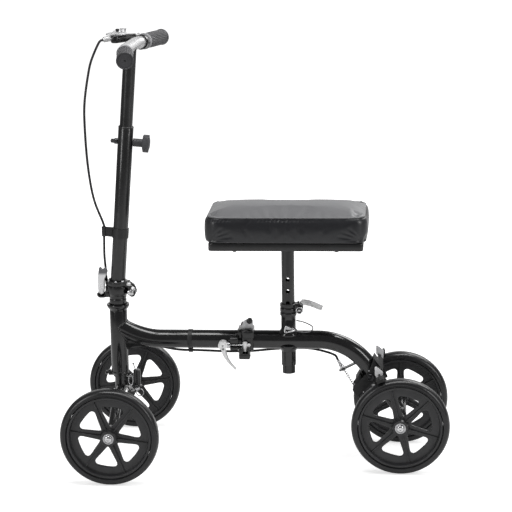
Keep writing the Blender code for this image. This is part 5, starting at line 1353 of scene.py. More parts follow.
def make_cushion():
    band, top, under = pad_base()
    rows_at = np.unique(np.append(np.arange(0, len(band), 3), len(band) - 1))
    band_cols = np.arange(0, band.shape[1], 2)
    top_rows, top_cols = np.arange(0, PAD_COLS + 1, 2), np.arange(0, PAD_ROWS + 1, 2)
    moves = pressed([band[rows_at][:, band_cols], top[top_rows][:, top_cols],
                     under[top_rows][:, top_cols]], [True, False, False])
    closed_cols = np.append(band_cols, band.shape[1])
    band_move = refined(moves[0], band.shape, rows_at, closed_cols, True)
    top_move = refined(moves[1], top.shape, top_rows, top_cols, False)
    band = band + softened(band_move, True)
    top = top + softened(top_move, False)
    top[:, 0], top[-1, :] = band[-1, :PAD_COLS + 1], band[-1, PAD_COLS:PAD_COLS + PAD_ROWS + 1]
    top[:, -1] = band[-1, PAD_COLS + PAD_ROWS:2 * PAD_COLS + PAD_ROWS + 1][::-1]
    top[0, 1:] = band[-1, 2 * PAD_COLS + PAD_ROWS:][::-1]
    ring = band[:, :, :2]
    step = np.roll(ring, -1, 1) - np.roll(ring, 1, 1)
    step /= np.linalg.norm(step, axis=2, keepdims=True)
    outward = np.stack([step[..., 1], -step[..., 0]], -1)
    band[:, :, :2] -= outward * sewing_marks(band)[..., None]
    shapes = [patch(band, close_cols=True), patch(top), patch(under)]
    place = Matrix.Translation(((PAD_X0 + PAD_X1) / 2, 0, 0))
    pad = look("seat_cushion", [moved(shape, place) for shape in shapes],
               vinyl, sharp=75, merge=5e-5)
    print("cushion:", len(pad.data.polygons), "faces,", pad.dimensions[:])


make_cushion()

# %% [markdown]
# ## Tools for small metal parts
# Lever blades are strips whose width and thickness change along them, nuts are six-sided
# plates with dulled corners, and blocks are plates whose edges are well rounded.

# %% Strips, nuts and blocks
SIDEWAYS = Matrix(((0, 0, 1, 0), (1, 0, 0, 0), (0, 1, 0, 0), (0, 0, 0, 1)))


def ribbon(line, reference, widths, thicks):
    """A rounded rectangle rides along the line; its width lies across the reference
    direction and its thickness along it, and both are read off evenly along the line."""
    line = resample(flow(line, 8), 32)
    step = np.linspace(0, 1, len(line))
    width = np.interp(step, np.linspace(0, 1, len(widths)), widths)
    thick = np.interp(step, np.linspace(0, 1, len(thicks)), thicks)
    return swept(line, rectangle(1, 1, 0.3, 4), reference, width, thick)


def hexagonal(radius, low, high, place, edge=0.0005):
    a = np.radians(np.arange(6) * 60 + 30)
    return slab(np.stack([radius * np.cos(a), radius * np.sin(a)], -1), low, high, place, edge)


def block(x, y, z, edge=0.0010, corner=0.0015):
    """A box from (x0, x1), (y0, y1) and (z0, z1), standing in the XZ plane."""
    outline = rounded([(x[0], z[0]), (x[1], z[0]), (x[1], z[1]), (x[0], z[1])], corner)
    return side_plate(outline, y[0], y[1], edge)


def across_plate(outline, x0, x1, edge=0.0008):
    """A slab that stands in the YZ plane."""
    return slab(outline, x0, x1, SIDEWAYS, edge)


def dome(radius, height, place, base=0.0):
    """A button head: r = R cos t and h = base + H (0.3 + 0.7 sin t), on a foot of 0.97 R."""
    t = np.linspace(0, pi / 2, 7)
    cap = np.stack([radius * np.cos(t), base + 0.3 * height + 0.7 * height * np.sin(t)], -1)
    outline = np.vstack([[(0.0, base), (radius * 0.97, base)], cap])
    return turned(outline, 28, place, closed=False)


# %% [markdown]
# ## Headset and column foot
# The headset's upper cup flares over the head tube. The foot above it is a steel casting with
# a hook in front for the latch and a knuckle behind for the fold pin. The column's own plate
# lies on it with an arc of cap screws, and two nuts sit on the fold pin's near ear.

# %% Headset and foot
FOOT_TOP_Z = 0.3678


def make_headset():
    cup = rounded([(0.0122, 0.3148), (0.0181, 0.3148), (0.0188, 0.3176), (0.0214, 0.3205),
                   (0.0232, 0.3240), (0.0236, 0.3266), (0.0228, 0.3288), (0.0196, 0.3284),
                   (0.0186, 0.3262), (0.0122, 0.3262)], 0.0008)
    look("headset_upper", [turned(cup, 72, HEAD_PLACE)], gloss_metal)
    lower = rounded([(0.0122, 0.1720), (0.0146, 0.1720), (0.0150, 0.1768), (0.0182, 0.1790),
                     (0.0186, 0.1822), (0.0180, 0.1838), (0.0122, 0.1838)], 0.0006)
    boss = block((-0.3180, -0.3065), (-0.0055, 0.0055), (0.1745, 0.1833))
    ahead = along_axis((-0.3080, 0, 0.1795), (-1, 0, 0))
    screw = socket_bolt(ahead, 0.0125, 0.0044, 0.0056, 0.0030, 0.0)
    lock = hexagonal(0.0064, 0.0052, 0.0104, ahead)
    look("headset_lower", [turned(lower, 64, HEAD_PLACE), boss, screw, lock], gloss_metal)


def make_column_base():
    neck = rounded([(0.0122, 0.3270), (0.0178, 0.3270), (0.0178, 0.3390), (0.0171, 0.3398),
                    (0.0171, 0.3412), (0.0180, 0.3420), (0.0184, 0.3470), (0.0206, 0.3500),
                    (0.0210, 0.3540), (0.0122, 0.3540)], 0.0005)
    body = slab(foot_outline(-0.0240, 0.0225, 0.0216), 0.3512, FOOT_TOP_Z, HEAD_PLACE, 0.0014)
    knuckle = round_bar((FOLD_X, -0.0060, FOLD_Z), (FOLD_X, 0.0060, FOLD_Z), 0.0072, 40)
    web = block((-0.2740, -0.2600), (-0.0058, 0.0058), (0.3500, 0.3600))
    hook = flow([(-0.3170, 0.3500), (-0.3170, 0.3440), (-0.3240, 0.3425), (-0.3310, 0.3430),
                 (-0.3348, 0.3462), (-0.3356, 0.3510), (-0.3340, 0.3530), (-0.3322, 0.3508),
                 (-0.3310, 0.3478), (-0.3270, 0.3462), (-0.3215, 0.3470), (-0.3190, 0.3540)], 4)
    arm = block((-0.3195, -0.3100), (-0.0098, 0.0098), (0.3436, 0.3560))
    shapes = [turned(neck, 64, HEAD_PLACE), body, knuckle, web, arm]
    shapes += [side_plate(hook, low, high, 0.0006)
               for low, high in ((-0.0098, -0.0068), (0.0068, 0.0098))]
    look("column_base", shapes, gloss_metal)


def make_fold_pin():
    aside = along_axis((FOLD_X - 0.0025, 0, FOLD_Z + 0.0025), (0, -1, 0))
    shapes = [round_bar((FOLD_X, -0.0150, FOLD_Z), (FOLD_X, 0.0150, FOLD_Z), 0.0030),
              hexagonal(0.0074, 0.0143, 0.0180, aside, 0.0008),
              dome(0.0056, 0.0022, aside, 0.0178),
              hexagonal(0.0068, -0.0195, -0.0143, aside, 0.0008)]
    look("column_fold_pin", shapes, chrome)


def make_foot_screws():
    """Cap screws in an arc on the column's plate, and the two nuts behind it."""
    shapes = []
    reach = 0.0190
    for turn in np.radians((-150, -92, -48, 48, 92, 150)):
        spot = Matrix.Translation((HEAD_X + reach * cos(turn), reach * sin(turn), 0.3776))
        shapes.append(socket_bolt(spot, 0.0, 0.0027, 0.0030, 0.0014, -0.0060))
    skin("column_screws", shapes, steel, "column_lower", "steel")
    nuts = []
    for at, heading in (((-0.2680, -0.0150, 0.3722), (0.25, -0.15, 1.0)),
                        ((-0.2600, -0.0150, 0.3632), (1.0, -0.15, 0.75))):
        place = along_axis(at, heading)
        nuts += [hexagonal(0.0046, -0.0012, 0.0036, place, 0.0006),
                 dome(0.0026, 0.0012, place, 0.0034)]
    skin("column_nuts", nuts, silver, "column_lower", "silver")


def make_latch():
    """A flat lever whose foot sits in the hook; its tip is forked."""
    outline = rounded([
        (-0.3318, 0.3530), (-0.3338, 0.3590), (-0.3338, 0.3700), (-0.3332, 0.3850),
        (-0.3318, 0.3960), (-0.3302, 0.4052), (-0.3284, 0.4058), (-0.3240, 0.4004),
        (-0.3188, 0.4050), (-0.3160, 0.4046), (-0.3134, 0.3962), (-0.3165, 0.3880),
        (-0.3202, 0.3800), (-0.3205, 0.3600), (-0.3226, 0.3512), (-0.3270, 0.3488)], 0.0012)
    outline = evened(outline, 119)
    shapes = [side_plate(outline, -0.0062, 0.0062, 0.0009),
              round_bar((-0.3235, -0.0094, 0.3535), (-0.3235, 0.0094, 0.3535), 0.0019)]
    look("column_latch_lever", shapes, latch_silver)


# %% [markdown]
# ## Steering lock
# A spring plunger sits in a housing behind the head tube; a wire handle and a pull ring let a
# finger draw it down.

# %% Lock plunger
def make_steering_lock():
    spot = Matrix.Translation((LOCK_X, 0, 0))
    pin = spun([(0, 0.1400), (0.0030, 0.1400), (0.0030, 0.1870), (0, 0.1870)], 0.0006, 32, spot)
    nut = hexagonal(0.0056, 0.1424, 0.1470, spot)
    knob = [round_bar((-0.2615, 0, 0.1840), (-0.2660, 0, 0.1985), 0.0010, 16),
            dome(0.0020, 0.0036, along_axis((-0.2656, 0, 0.1972), (-0.3, 0, 1)))]
    t = np.linspace(0, 2 * pi, 49)
    ring = np.stack([-0.2537 + 0.0076 * np.sin(t), 0.0010 * np.sin(2 * t),
                     0.1354 + 0.0078 * np.cos(t)], -1)
    handle = np.stack([-0.2716 - 0.0046 * np.cos(t), -0.0050 + 0.0012 * np.sin(t),
                       0.1640 + 0.0112 * np.sin(t)], -1)
    loops = [swept(path, circle(radius, 12), reference=(0.1, 1, 0.1))
             for path, radius in ((ring, 0.0010), (handle, 0.0013))]
    look("steering_lock_plunger", [pin, nut, *knob, *loops],
         steel)


make_headset()
make_column_base()
make_fold_pin()
make_foot_screws()
make_latch()
make_steering_lock()
print("column foot and lock made")

# %% [markdown]
# ## Beam hinge
# Two clamp blocks close the folding joint of the beam. A threaded rod with a cam lever pulls
# a barrel nut into the rear block's pocket, and a catch on top keeps the halves from opening
# by themselves.

# %% Hinge blocks
HINGE_PIN = (-0.0360, 0.034)


def make_hinge_blocks():
    profile = rounded([(-0.0235, 0.2335), (0.0235, 0.2335), (0.0235, 0.2781), (-0.0235, 0.2781)],
                      0.0060, steps=6)
    shapes = [across_plate(profile, -0.0357, -0.0120, 0.0014),
              across_plate(profile * (0.94, 1.0) + (0, 0.0012), -0.0300, -0.0170, 0.0012),
              block((-0.0403, -0.0325), (-0.0400, -0.0200), (0.2212, 0.2450)),
              block((-0.0403, -0.0325), (-0.0250, -0.0200), (0.2440, 0.2560)),
              block((-0.0221, -0.0176), (-0.0400, -0.0200), (0.2212, 0.2450)),
              block((-0.0403, -0.0176), (-0.0404, -0.0200), (0.2208, 0.2325), 0.0016, 0.0030),
              block((-0.0403, -0.0176), (-0.0248, -0.0200), (0.2230, 0.2530)),
              block((-0.0340, -0.0100), (-0.0262, -0.0226), (0.2620, 0.2768), 0.0012, 0.0020)]
    lug = rounded([(-0.0262, 0.2700), (-0.0130, 0.2700), (-0.0140, 0.2930), (-0.0172, 0.2985),
                   (-0.0226, 0.2985), (-0.0262, 0.2930)], 0.0022)
    shapes.append(side_plate(lug, -0.0046, 0.0046, 0.0008))
    for low, high in ((0.2340, 0.2440), (0.2680, 0.2775)):
        shapes += [round_bar((*HINGE_PIN, low), (*HINGE_PIN, high), 0.0062, 36),
                   block((-0.0340, -0.0200), (0.0215, 0.0360), (low, high))]
    look("rear_hinge_block", shapes, gloss_metal)
    plate = rounded([(-0.0205, 0.2345), (0.0235, 0.2345), (0.0235, 0.2781), (-0.0205, 0.2781)],
                    0.0055, steps=6)
    shapes = [across_plate(plate, -0.0442, -0.0363, 0.0012),
              across_plate(rounded(plate * (0.93, 0.55) + (0, 0.1154), 0.001), -0.0500,
                           -0.0430, 0.001),
              block((-0.0585, -0.0416), (-0.0262, -0.0190), (0.2400, 0.2640)),
              block((-0.0585, -0.0416), (-0.0380, -0.0240), (0.2538, 0.2640)),
              block((-0.0585, -0.0416), (-0.0380, -0.0240), (0.2400, 0.2452)),
              block((-0.0420, -0.0365), (-0.0300, -0.0190), (0.2400, 0.2600)),
              round_bar((*HINGE_PIN, 0.2445), (*HINGE_PIN, 0.2675), 0.0062, 36),
              block((-0.0440, -0.0362), (0.0215, 0.0340), (0.2445, 0.2675))]
    look("front_hinge_block", shapes, gloss_metal)


# %% [markdown]
# The clamp is a threaded rod with a cam lever at one end and a barrel nut at the other: the
# same idea as on a cycle wheel. The catch is a flat plate that stands over the joint, with
# the head of its bolt on the near side.

# %% Clamp rod, cam lever and catch
ROD_Y = -0.0300
ROD_Z = 0.2488


def threaded(start, length, radius):
    """A rod along +X whose radius is R (1 - 0.12 |sin(pi s / pitch)|)."""
    pitch = 0.0011
    s = np.linspace(0, length, int(length / pitch * 6) + 1)
    line = np.stack([start + s, 0 * s + ROD_Y, 0 * s + ROD_Z], -1)
    return swept(line, circle(1, 20), reference=(0, 0, 1),
                 scale=radius * (1 - 0.12 * np.abs(np.sin(pi * s / pitch))))


def make_hinge_clamp():
    along = along_axis((0, ROD_Y, ROD_Z), (1, 0, 0))
    aside = along_axis((-0.0736, ROD_Y, ROD_Z), (0, -1, 0))
    washer = rounded([(0.0030, -0.0655), (0.0064, -0.0655), (0.0064, -0.0640), (0.0058, -0.0636),
                      (0.0066, -0.0632), (0.0066, -0.0612), (0.0056, -0.0608), (0.0062, -0.0604),
                      (0.0062, -0.0588), (0.0030, -0.0588)], 0.0002)
    rod = [threaded(-0.0660, 0.0338, 0.0028), turned(washer, 40, along),
           round_bar((-0.0736, ROD_Y - 0.0036, ROD_Z), (-0.0736, ROD_Y + 0.0036, ROD_Z), 0.0040),
           round_bar((-0.0740, ROD_Y, ROD_Z), (-0.0650, ROD_Y, ROD_Z), 0.0030)]
    look("hinge_clamp_rod", rod, chrome)
    upright = Matrix.Translation((-0.0282, ROD_Y, 0))
    barrel = [(0, 0.2358), (0.0046, 0.2358), (0.0046, 0.2546), (0.0036, 0.2560), (0, 0.2560)]
    a = np.linspace(-pi / 2, pi / 2, 13)
    ball = np.stack([0.0040 * np.cos(a), 0.0040 * np.sin(a)], -1)
    nut = [spun(barrel, 0.0006, 36, upright),
           turned(ball, 28, Matrix.Translation((-0.0205, ROD_Y, ROD_Z)), closed=False),
           round_bar((-0.0260, ROD_Y, ROD_Z), (-0.0190, ROD_Y, ROD_Z), 0.0022, 20)]
    look("hinge_barrel_nut", nut, bright_silver)
    shapes = []
    for low in (-0.0067, 0.0036):
        cheek = rounded([(0.0021, low), (0.0098, low), (0.0098, low + 0.0031),
                         (0.0021, low + 0.0031)], 0.0006)
        shapes.append(turned(cheek, 48, aside))
    line = [(-0.0732, ROD_Y, 0.2432), (-0.0722, ROD_Y, 0.2360), (-0.0696, ROD_Y, 0.2285),
            (-0.0645, ROD_Y, 0.2175), (-0.0570, ROD_Y, 0.2068), (-0.0476, ROD_Y, 0.1975)]
    shapes.append(ribbon(line, (1, 0, 0.3), [0.0134, 0.0134, 0.0126, 0.0118, 0.0104],
                         [0.0110, 0.0090, 0.0056, 0.0038, 0.0030]))
    look("hinge_clamp_lever", shapes, bright_silver)


def make_catch():
    plate = rounded([(-0.0400, 0.2740), (-0.0385, 0.2790), (-0.0345, 0.2890), (-0.0305, 0.2962),
                     (-0.0262, 0.2976), (-0.0160, 0.2962), (-0.0136, 0.2900), (-0.0120, 0.2830),
                     (-0.0125, 0.2740)], 0.0016)
    plate = side_plate(evened(plate, 89), -0.0086, -0.0056, 0.0005)
    look("hinge_catch", [plate], bright_plate)
    bolt = [socket_bolt(along_axis((-0.0199, -0.0086, 0.2950), (0, -1, 0)), 0.0, 0.0062, 0.0044,
                        0.0024, -0.0120)]
    skin("catch_bolt", bolt, black_steel, "rear_frame", "black_hardware")


make_hinge_blocks()
make_hinge_clamp()
make_catch()
print("beam hinge made")

# %% [markdown]
# ## Seat clamp and lock pin
# A split collar with two grooves squeezes the slotted tube when its cam lever is pressed
# home. Below it a pin through the tube and the post sets the height, and a thin steel wire
# keeps the pin from getting lost.

# %% Seat clamp
def make_seat_clamp():
    z = np.linspace(0.3056, 0.3314, 60)
    radius = 0.0172
    for groove in (0.3128, 0.3228):
        radius = radius - 0.0014 * np.exp(-((z - groove) / 0.0011) ** 2)
    radius[[0, -1]] -= 0.0008
    outline = np.vstack([[(0.0153, z[0])], np.stack([radius, z], -1), [(0.0153, z[-1])]])
    slit = 0.0020 / 0.0165
    shapes = [open_turn(outline, slit, 2 * pi - slit, 72, SEAT_PLACE)]
    ear = rounded([(0.0725, 0.3120), (0.0860, 0.3120), (0.0905, 0.3165), (0.0905, 0.3260),
                   (0.0860, 0.3312), (0.0725, 0.3312)], 0.0030, steps=5)
    shapes += [side_plate(ear, low, low + 0.0073, 0.0010) for low in (-0.0095, 0.0022)]
    look("seat_clamp_collar", shapes, gloss_metal)
    aside = along_axis((0.0835, 0, 0.3190), (0, -1, 0))
    nut = [(0.0, 0.0098), (0.0070, 0.0098), (0.0076, 0.0108), (0.0076, 0.0148),
           (0.0068, 0.0158), (0.0056, 0.0154), (0.0050, 0.0130), (0.0026, 0.0130),
           (0.0024, 0.0142), (0.0, 0.0146)]
    bar = [(0, -0.0250), (0.0025, -0.0250), (0.0025, 0.0110), (0, 0.0110)]
    shapes = [spun(nut, 0.0003, 40, aside), spun(bar, 0.0004, 24, aside),
              dome(0.0028, 0.0026, Matrix.Translation((0.0815, 0.0060, 0.3312)))]
    look("seat_clamp_skewer", shapes, chrome)
    # A black disc set in the nut's hollow is painted shade: it darkens the middle of the hole.
    hole_shade = [(0.0, 0.0131), (0.0046, 0.0131), (0.0046, 0.0137), (0.0, 0.0139)]
    skin("clamp_nut_painted_shade", [spun(hole_shade, 0.0002, 32, aside)], soft_black,
         body_of_node("seat_clamp_skewer"), "soft_black")
    upright = along_axis((0.0835, 0.0205, 0.3100), (0, 0, 1))
    cam = [(0, 0.0045), (0.0066, 0.0045), (0.0066, 0.0190), (0, 0.0190)]
    line = [(0.0860, 0.0215, 0.3268), (0.0945, 0.0232, 0.3262), (0.1040, 0.0228, 0.3242),
            (0.1140, 0.0205, 0.3212), (0.1230, 0.0178, 0.3180), (0.1296, 0.0172, 0.3158)]
    blade = ribbon(line, (0, 0.2, 1), [0.0050, 0.0030, 0.0024, 0.0024, 0.0028],
                   [0.0130, 0.0126, 0.0120, 0.0120, 0.0112])
    look("seat_clamp_lever", [spun(cam, 0.0010, 36, upright), blade], bright_silver)


# %% [markdown]
# The pin's head is a round wire bent to a triangle. The wire loop leaves its corner, swings
# out to the rear and comes back towards the seat tube.

# %% Lock pin and its wire
LANYARD_R = 0.0014


def make_lock_pin():
    corners = np.array([(0.0556, 0.2896), (0.0528, 0.2742), (0.0755, 0.2792)])
    loop = rounded(corners, 0.0040, steps=8)
    loop = np.stack([loop[:, 0], 0 * loop[:, 0] - 0.0252, loop[:, 1]], -1)
    loop = np.vstack([loop, loop[:1]])
    shapes = [swept(resample(loop, 60), circle(0.0015, 14), reference=(0, 1, 0)),
              round_bar((0.0600, -0.0256, 0.2841), (0.0600, -0.0136, 0.2841), 0.0036, 28),
              round_bar((0.0548, -0.0252, 0.2830), (0.0660, -0.0252, 0.2812), 0.0014, 16)]
    look("lock_pin", shapes, chrome)
    line = flow([(0.0748, -0.0252, 0.2797), (0.0840, -0.0262, 0.2776), (0.0945, -0.0262, 0.2764),
                 (0.1050, -0.0250, 0.2776), (0.1112, -0.0225, 0.2818), (0.1092, -0.0190, 0.2872),
                 (0.1000, -0.0150, 0.2914), (0.0890, -0.0100, 0.2940),
                 (0.0770, -0.0040, 0.2948)], 6)
    line = resample(line, 34)
    wire = skin("lock_pin_lanyard", [swept(line, circle(LANYARD_R, 12), reference=(0.1, 1, 0.1))],
                wire_steel, None, "steel", sharp=70)
    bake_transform(wire)


make_seat_clamp()
make_lock_pin()

# %% [markdown]
# ## Brake yoke
# A folded steel yoke swings on a bolt under the beam. Its pale lugs stand up beside the
# tyres, and a cross bar carries the two rubber shoes.

# %% Yoke
SHOE_X, SHOE_Z = 0.2514, 0.1951


def from_shoe(dx, dz):
    return SHOE_X + dx, SHOE_Z + dz


def between(a, b, thick):
    """The outline of a thin plate seen edge-on, from a to b."""
    a, b = np.array(a), np.array(b)
    across = np.array([-(b - a)[1], (b - a)[0]]) / np.linalg.norm(b - a) * thick / 2
    return np.array([a - across, b - across, b + across, a + across])


def make_yoke():
    cheek = rounded([(0.1949, 0.1601), (0.2194, 0.1842), (0.2290, 0.1990),
                     from_shoe(-0.0164, 0.0221), from_shoe(-0.0094, 0.0169),
                     from_shoe(0.0034, -0.0040), (0.2651, 0.1670), (0.2560, 0.1640),
                     (0.2400, 0.1715), (0.2300, 0.1628), (0.2043, 0.1369), (0.1916, 0.1508)],
                    0.0022)
    cheek = evened(cheek, 139)
    shapes = [side_plate(cheek, low, low + 0.0030, 0.0005) for low in (-0.0225, 0.0195)]
    for top, foot, thick, half in (((-0.0155, 0.0232), (0.0027, -0.0029), 0.0030, 0.0225),
                                   ((-0.0070, 0.0080), (0.0020, -0.0045), 0.0030, 0.0700),
                                   ((-0.0042, 0.0068), (-0.0018, 0.0034), 0.0026, 0.1050)):
        bar = between(from_shoe(*top), from_shoe(*foot), thick)
        shapes.append(side_plate(bar, -half, half, 0.0005))
    shapes.append(round_bar((0.1962, -0.0195, 0.1512), (0.1962, 0.0195, 0.1512), 0.0036))
    stop = rounded([(0.2064, 0.1860), (0.2136, 0.1740), (0.2030, 0.1602), (0.1990, 0.1580),
                    (0.1975, 0.1707)], 0.0024)
    shapes.append(side_plate(stop, -0.0196, 0.0196, 0.0006))
    turn = Matrix.Rotation(-radians(22.6), 4, "Y")
    for side in (-1, 1):
        place = Matrix.Translation((SHOE_X, side * REAR_HALF_TRACK, SHOE_Z)) @ turn
        corners = [(-0.0064, -0.0110), (0.0064, -0.0110), (0.0064, 0.0110), (-0.0064, 0.0110)]
        shapes.append(slab(corners, 0.0046, 0.0064, place, 0.0008))
    look("brake_yoke", shapes, yoke_black)
    small = [block((0.2335, 0.2385), (-0.0262, -0.0222), (0.1598, 0.1650))]
    for radius, height, x, z in ((0.0014, 0.0012, 0.2262, 0.1932),
                                 (0.0013, 0.0012, 0.2150, 0.1478),
                                 (0.0015, 0.0014, 0.2420, 0.1795)):
        small.append(dome(radius, height, along_axis((x, -0.0225, z), (0, -1, 0))))
    skin("yoke_rivets", small, tab_grey, "brake_yoke", "steel")
    tabs = []
    for y, dx, dz in ((-0.0718, 0.0, 0.0), (0.0690, 0.0006, 0.0042)):
        tab = rounded([from_shoe(-0.0128, 0.0208), from_shoe(-0.0102, 0.0224),
                       from_shoe(0.0038, 0.0110), from_shoe(0.0024, -0.0072),
                       from_shoe(-0.0002, -0.0074), from_shoe(-0.0122, 0.0030)], 0.0016)
        tabs.append(side_plate(evened(tab, 59) + (dx, dz), y, y + 0.0028, 0.0005))
    skin("yoke_lugs", tabs, lug_grey, "brake_yoke", "steel")


def make_pivot_bolt():
    aside = along_axis((0.2288, 0, 0.1797), (0, -1, 0))
    outline = [(0.0, -0.0228), (0.0036, -0.0228), (0.0036, 0.0228), (0.0068, 0.0228),
               (0.0073, 0.0236), (0.0073, 0.0262), (0.0066, 0.0272), (0.0056, 0.0268),
               (0.0050, 0.0250), (0.0040, 0.0250), (0.0036, 0.0262), (0.0018, 0.0264),
               (0.0014, 0.0246), (0.0, 0.0246)]
    shapes = [spun(outline, 0.0003, 48, aside),
              hexagonal(0.0070, -0.0283, -0.0228, aside, 0.0007)]
    look("brake_pivot_bolt", shapes, dark_steel)


make_yoke()
make_pivot_bolt()
print("yoke made")

# %% [markdown]
# ## Handlebar and grips
# The bar is an aluminium tube with its ends swept back and a little down. The grips are
# rubber, moulded with flutes along their length; a ribbed collar ends each of them inboard
# and a raised rim surrounds its end face.

# %% Handlebar frame of axes
BAR_X = COLUMN_FOOT_X + (BAR_Z - COLUMN_FOOT_Z) * tan(COLUMN_TILT)
BAR_TURN = radians(2.8)
BAR = Matrix.Translation((BAR_X, 0, BAR_Z)) @ Matrix.Rotation(-BAR_TURN, 4, "Z")
BAR_SWEEP = radians(11.2)
BAR_DROP = 0.0033
BAR_R = 0.0125
GRIP_START = 0.0945
GRIP_END = 0.1975


def bar_point(x, y, z):
    return BAR @ Vector((x, y, z))


def bar_line(y):
    """Straight in the middle, a parabola for 12 mm, then straight again, swept back."""
    past = np.maximum(np.abs(y) - 0.0480, 0)
    blend = 0.0120
    out = np.where(past < blend, past ** 2 / (2 * blend), past - blend / 2)
    return np.stack([tan(BAR_SWEEP) * out, y, -BAR_DROP * out / 0.1435], -1)


def grip_frame(side):
    """Local +Z runs outward along the swept end of the bar, from its middle plane."""
    start, end = bar_line(np.array([side * GRIP_START, side * 0.1950]))
    along = Vector(end - start).normalized()
    return BAR @ along_axis(Vector(start) - along * (GRIP_START / cos(BAR_SWEEP)), along)


def make_handlebar():
    y = np.concatenate([np.linspace(-0.195, -0.0955, 20), np.linspace(-0.0950, -0.0940, 4),
                        np.linspace(-0.0930, 0.0930, 60), np.linspace(0.0940, 0.0950, 4),
                        np.linspace(0.0955, 0.195, 20)])
    radius = np.interp(np.abs(y), [0.0940, 0.0950], [BAR_R, 0.0110])
    shape = moved(swept(bar_line(y), circle(1, 56), reference=(0, 0, 1), scale=radius), BAR)
    look("handlebar", [shape], bar_silver)


# %% [markdown]
# A flute is a shallow wave round the grip's girth, so one radius function of angle and
# distance describes the whole rubber sleeve.

# %% Fluted grip
def fluted(outline, flutes, depth, strength, sides, place):
    """A lathe shape whose radius is r - depth (1 - |sin(flutes a / 2)|^0.7) x strength(h)."""
    outline = np.array(outline, float)
    angle = np.linspace(0, 2 * pi, sides, endpoint=False)
    wave = np.abs(np.sin(flutes * angle / 2)) ** 0.7
    radius = outline[:, :1] - depth * strength[:, None] * (1 - wave)[None]
    points = np.stack([radius * np.cos(angle), radius * np.sin(angle),
                       np.repeat(outline[:, 1:], sides, 1)], -1)
    return moved(patch(points, close_cols=True), place)


def grip_shape(side):
    scale = 1 / cos(BAR_SWEEP)
    start, end = (GRIP_START + 0.0095) * scale, (GRIP_END + 0.0005) * scale
    z = np.linspace(start + 0.0012, end - 0.0075, 60)
    body = np.stack([np.interp(z, [z[0], z[0] + 0.030, z[-1]], [0.0150, 0.0162, 0.0160]), z], -1)
    tip = [(0.0160, end - 0.0062), (0.0168, end - 0.0050), (0.0170, end - 0.0018),
           (0.0164, end - 0.0004), (0.0152, end), (0.0146, end - 0.0004), (0.0142, end - 0.0014),
           (0.0080, end - 0.0010), (0.0018, end - 0.0009), (0.0014, end - 0.0024),
           (0.0, end - 0.0026)]
    inside = [(0.0, end - 0.0060), (0.0113, end - 0.0060), (0.0113, start), (0.0146, start)]
    outline = np.vstack([inside, body, tip])
    fade = np.concatenate([np.zeros(4), np.clip(np.minimum(z - z[0], z[-1] - z) / 0.006, 0, 1),
                           np.zeros(len(tip))])
    return fluted(outline, 28, 0.0009, fade, 168, grip_frame(side))


def collar_shape(side):
    """A ring with fine ribs round its outside."""
    low = (GRIP_START + 0.0022) / cos(BAR_SWEEP)
    outline = [(0.0113, low + 0.0076), (0.0113, low), (0.0158, low), (0.0168, low + 0.0010),
               (0.0170, low + 0.0060), (0.0160, low + 0.0076), (0.0113, low + 0.0076)]
    strength = np.array([0, 0, 0.3, 1, 1, 0.3, 0])
    return fluted(outline, 36, 0.0008, strength, 216, grip_frame(side))


def make_grips():
    for side, hand in ((-1, "left"), (1, "right")):
        skin("grip_" + hand + "_look", [grip_shape(side)], grip_rubber, "column_upper",
             "grip_rubber", ["grip_" + hand], sharp=60)
        # Each collar takes the pale tone of painted highlight on its ribs.
        skin("grip_collar_" + hand, [collar_shape(side)], collar_painted_highlight, "column_upper",
             "grip_rubber", sharp=60)


make_handlebar()
make_grips()
print("handlebar made")

# %% [markdown]
# ## Brake lever
# The lever's plate lies on a black perch that is clamped to the bar inboard of the right
# grip. A pivot screw and a cable screw stand up from it, beside the black parking button, and
# a plated barrel at its corner takes the cable.

# %% Lever, perch, button and barrel
def make_perch():
    grip = grip_frame(1)
    low, high = 0.0808 / cos(BAR_SWEEP), 0.0922 / cos(BAR_SWEEP)
    band = turned(rounded([(0.0126, low), (0.0158, low), (0.0158, high), (0.0126, high)], 0.0008),
                  64, grip)
    outline = rounded([(-0.0040, 0.0812), (-0.0040, 0.0915), (-0.0340, 0.0905), (-0.0480, 0.0760),
                       (-0.0510, 0.0540), (-0.0460, 0.0430), (-0.0350, 0.0440),
                       (-0.0230, 0.0640)], 0.0040, steps=5)
    body = slab(evened(outline, 109), 0.0010, 0.0165, BAR, 0.0022)
    neck = slab(rounded([(-0.0200, 0.0815), (-0.0200, 0.0912), (0.0020, 0.0912),
                         (0.0020, 0.0815)], 0.001), -0.0080, 0.0120, BAR, 0.0012)
    bolt_at = bar_point(-0.0330, 0.0480, 0.0085)
    bolt = socket_bolt(along_axis(bolt_at, (0.1, -1, 0)), 0.0, 0.0034, 0.0026, 0.0018, -0.006)
    look("brake_lever_perch", [band, body, neck, bolt], gloss_metal)
    start, end = bar_point(-0.0480, 0.0520, 0.0105), bar_point(-0.0620, 0.0410, 0.0092)
    z = np.linspace(0, (end - start).length, 26)
    grooved = 0.0058 - 0.0005 * (np.abs(np.sin(pi * z / 0.0030)) < 0.45)
    outline = np.vstack([[(0, 0)], np.stack([grooved, z], -1), [(0.0036, z[-1] + 0.0008)],
                         [(0.0036, z[-1] + 0.0030)], [(0, z[-1] + 0.0030)]])
    skin("cable_barrel", [turned(outline, 32, along_axis(start, end - start), closed=False)],
         bar_silver, "column_upper", "silver")


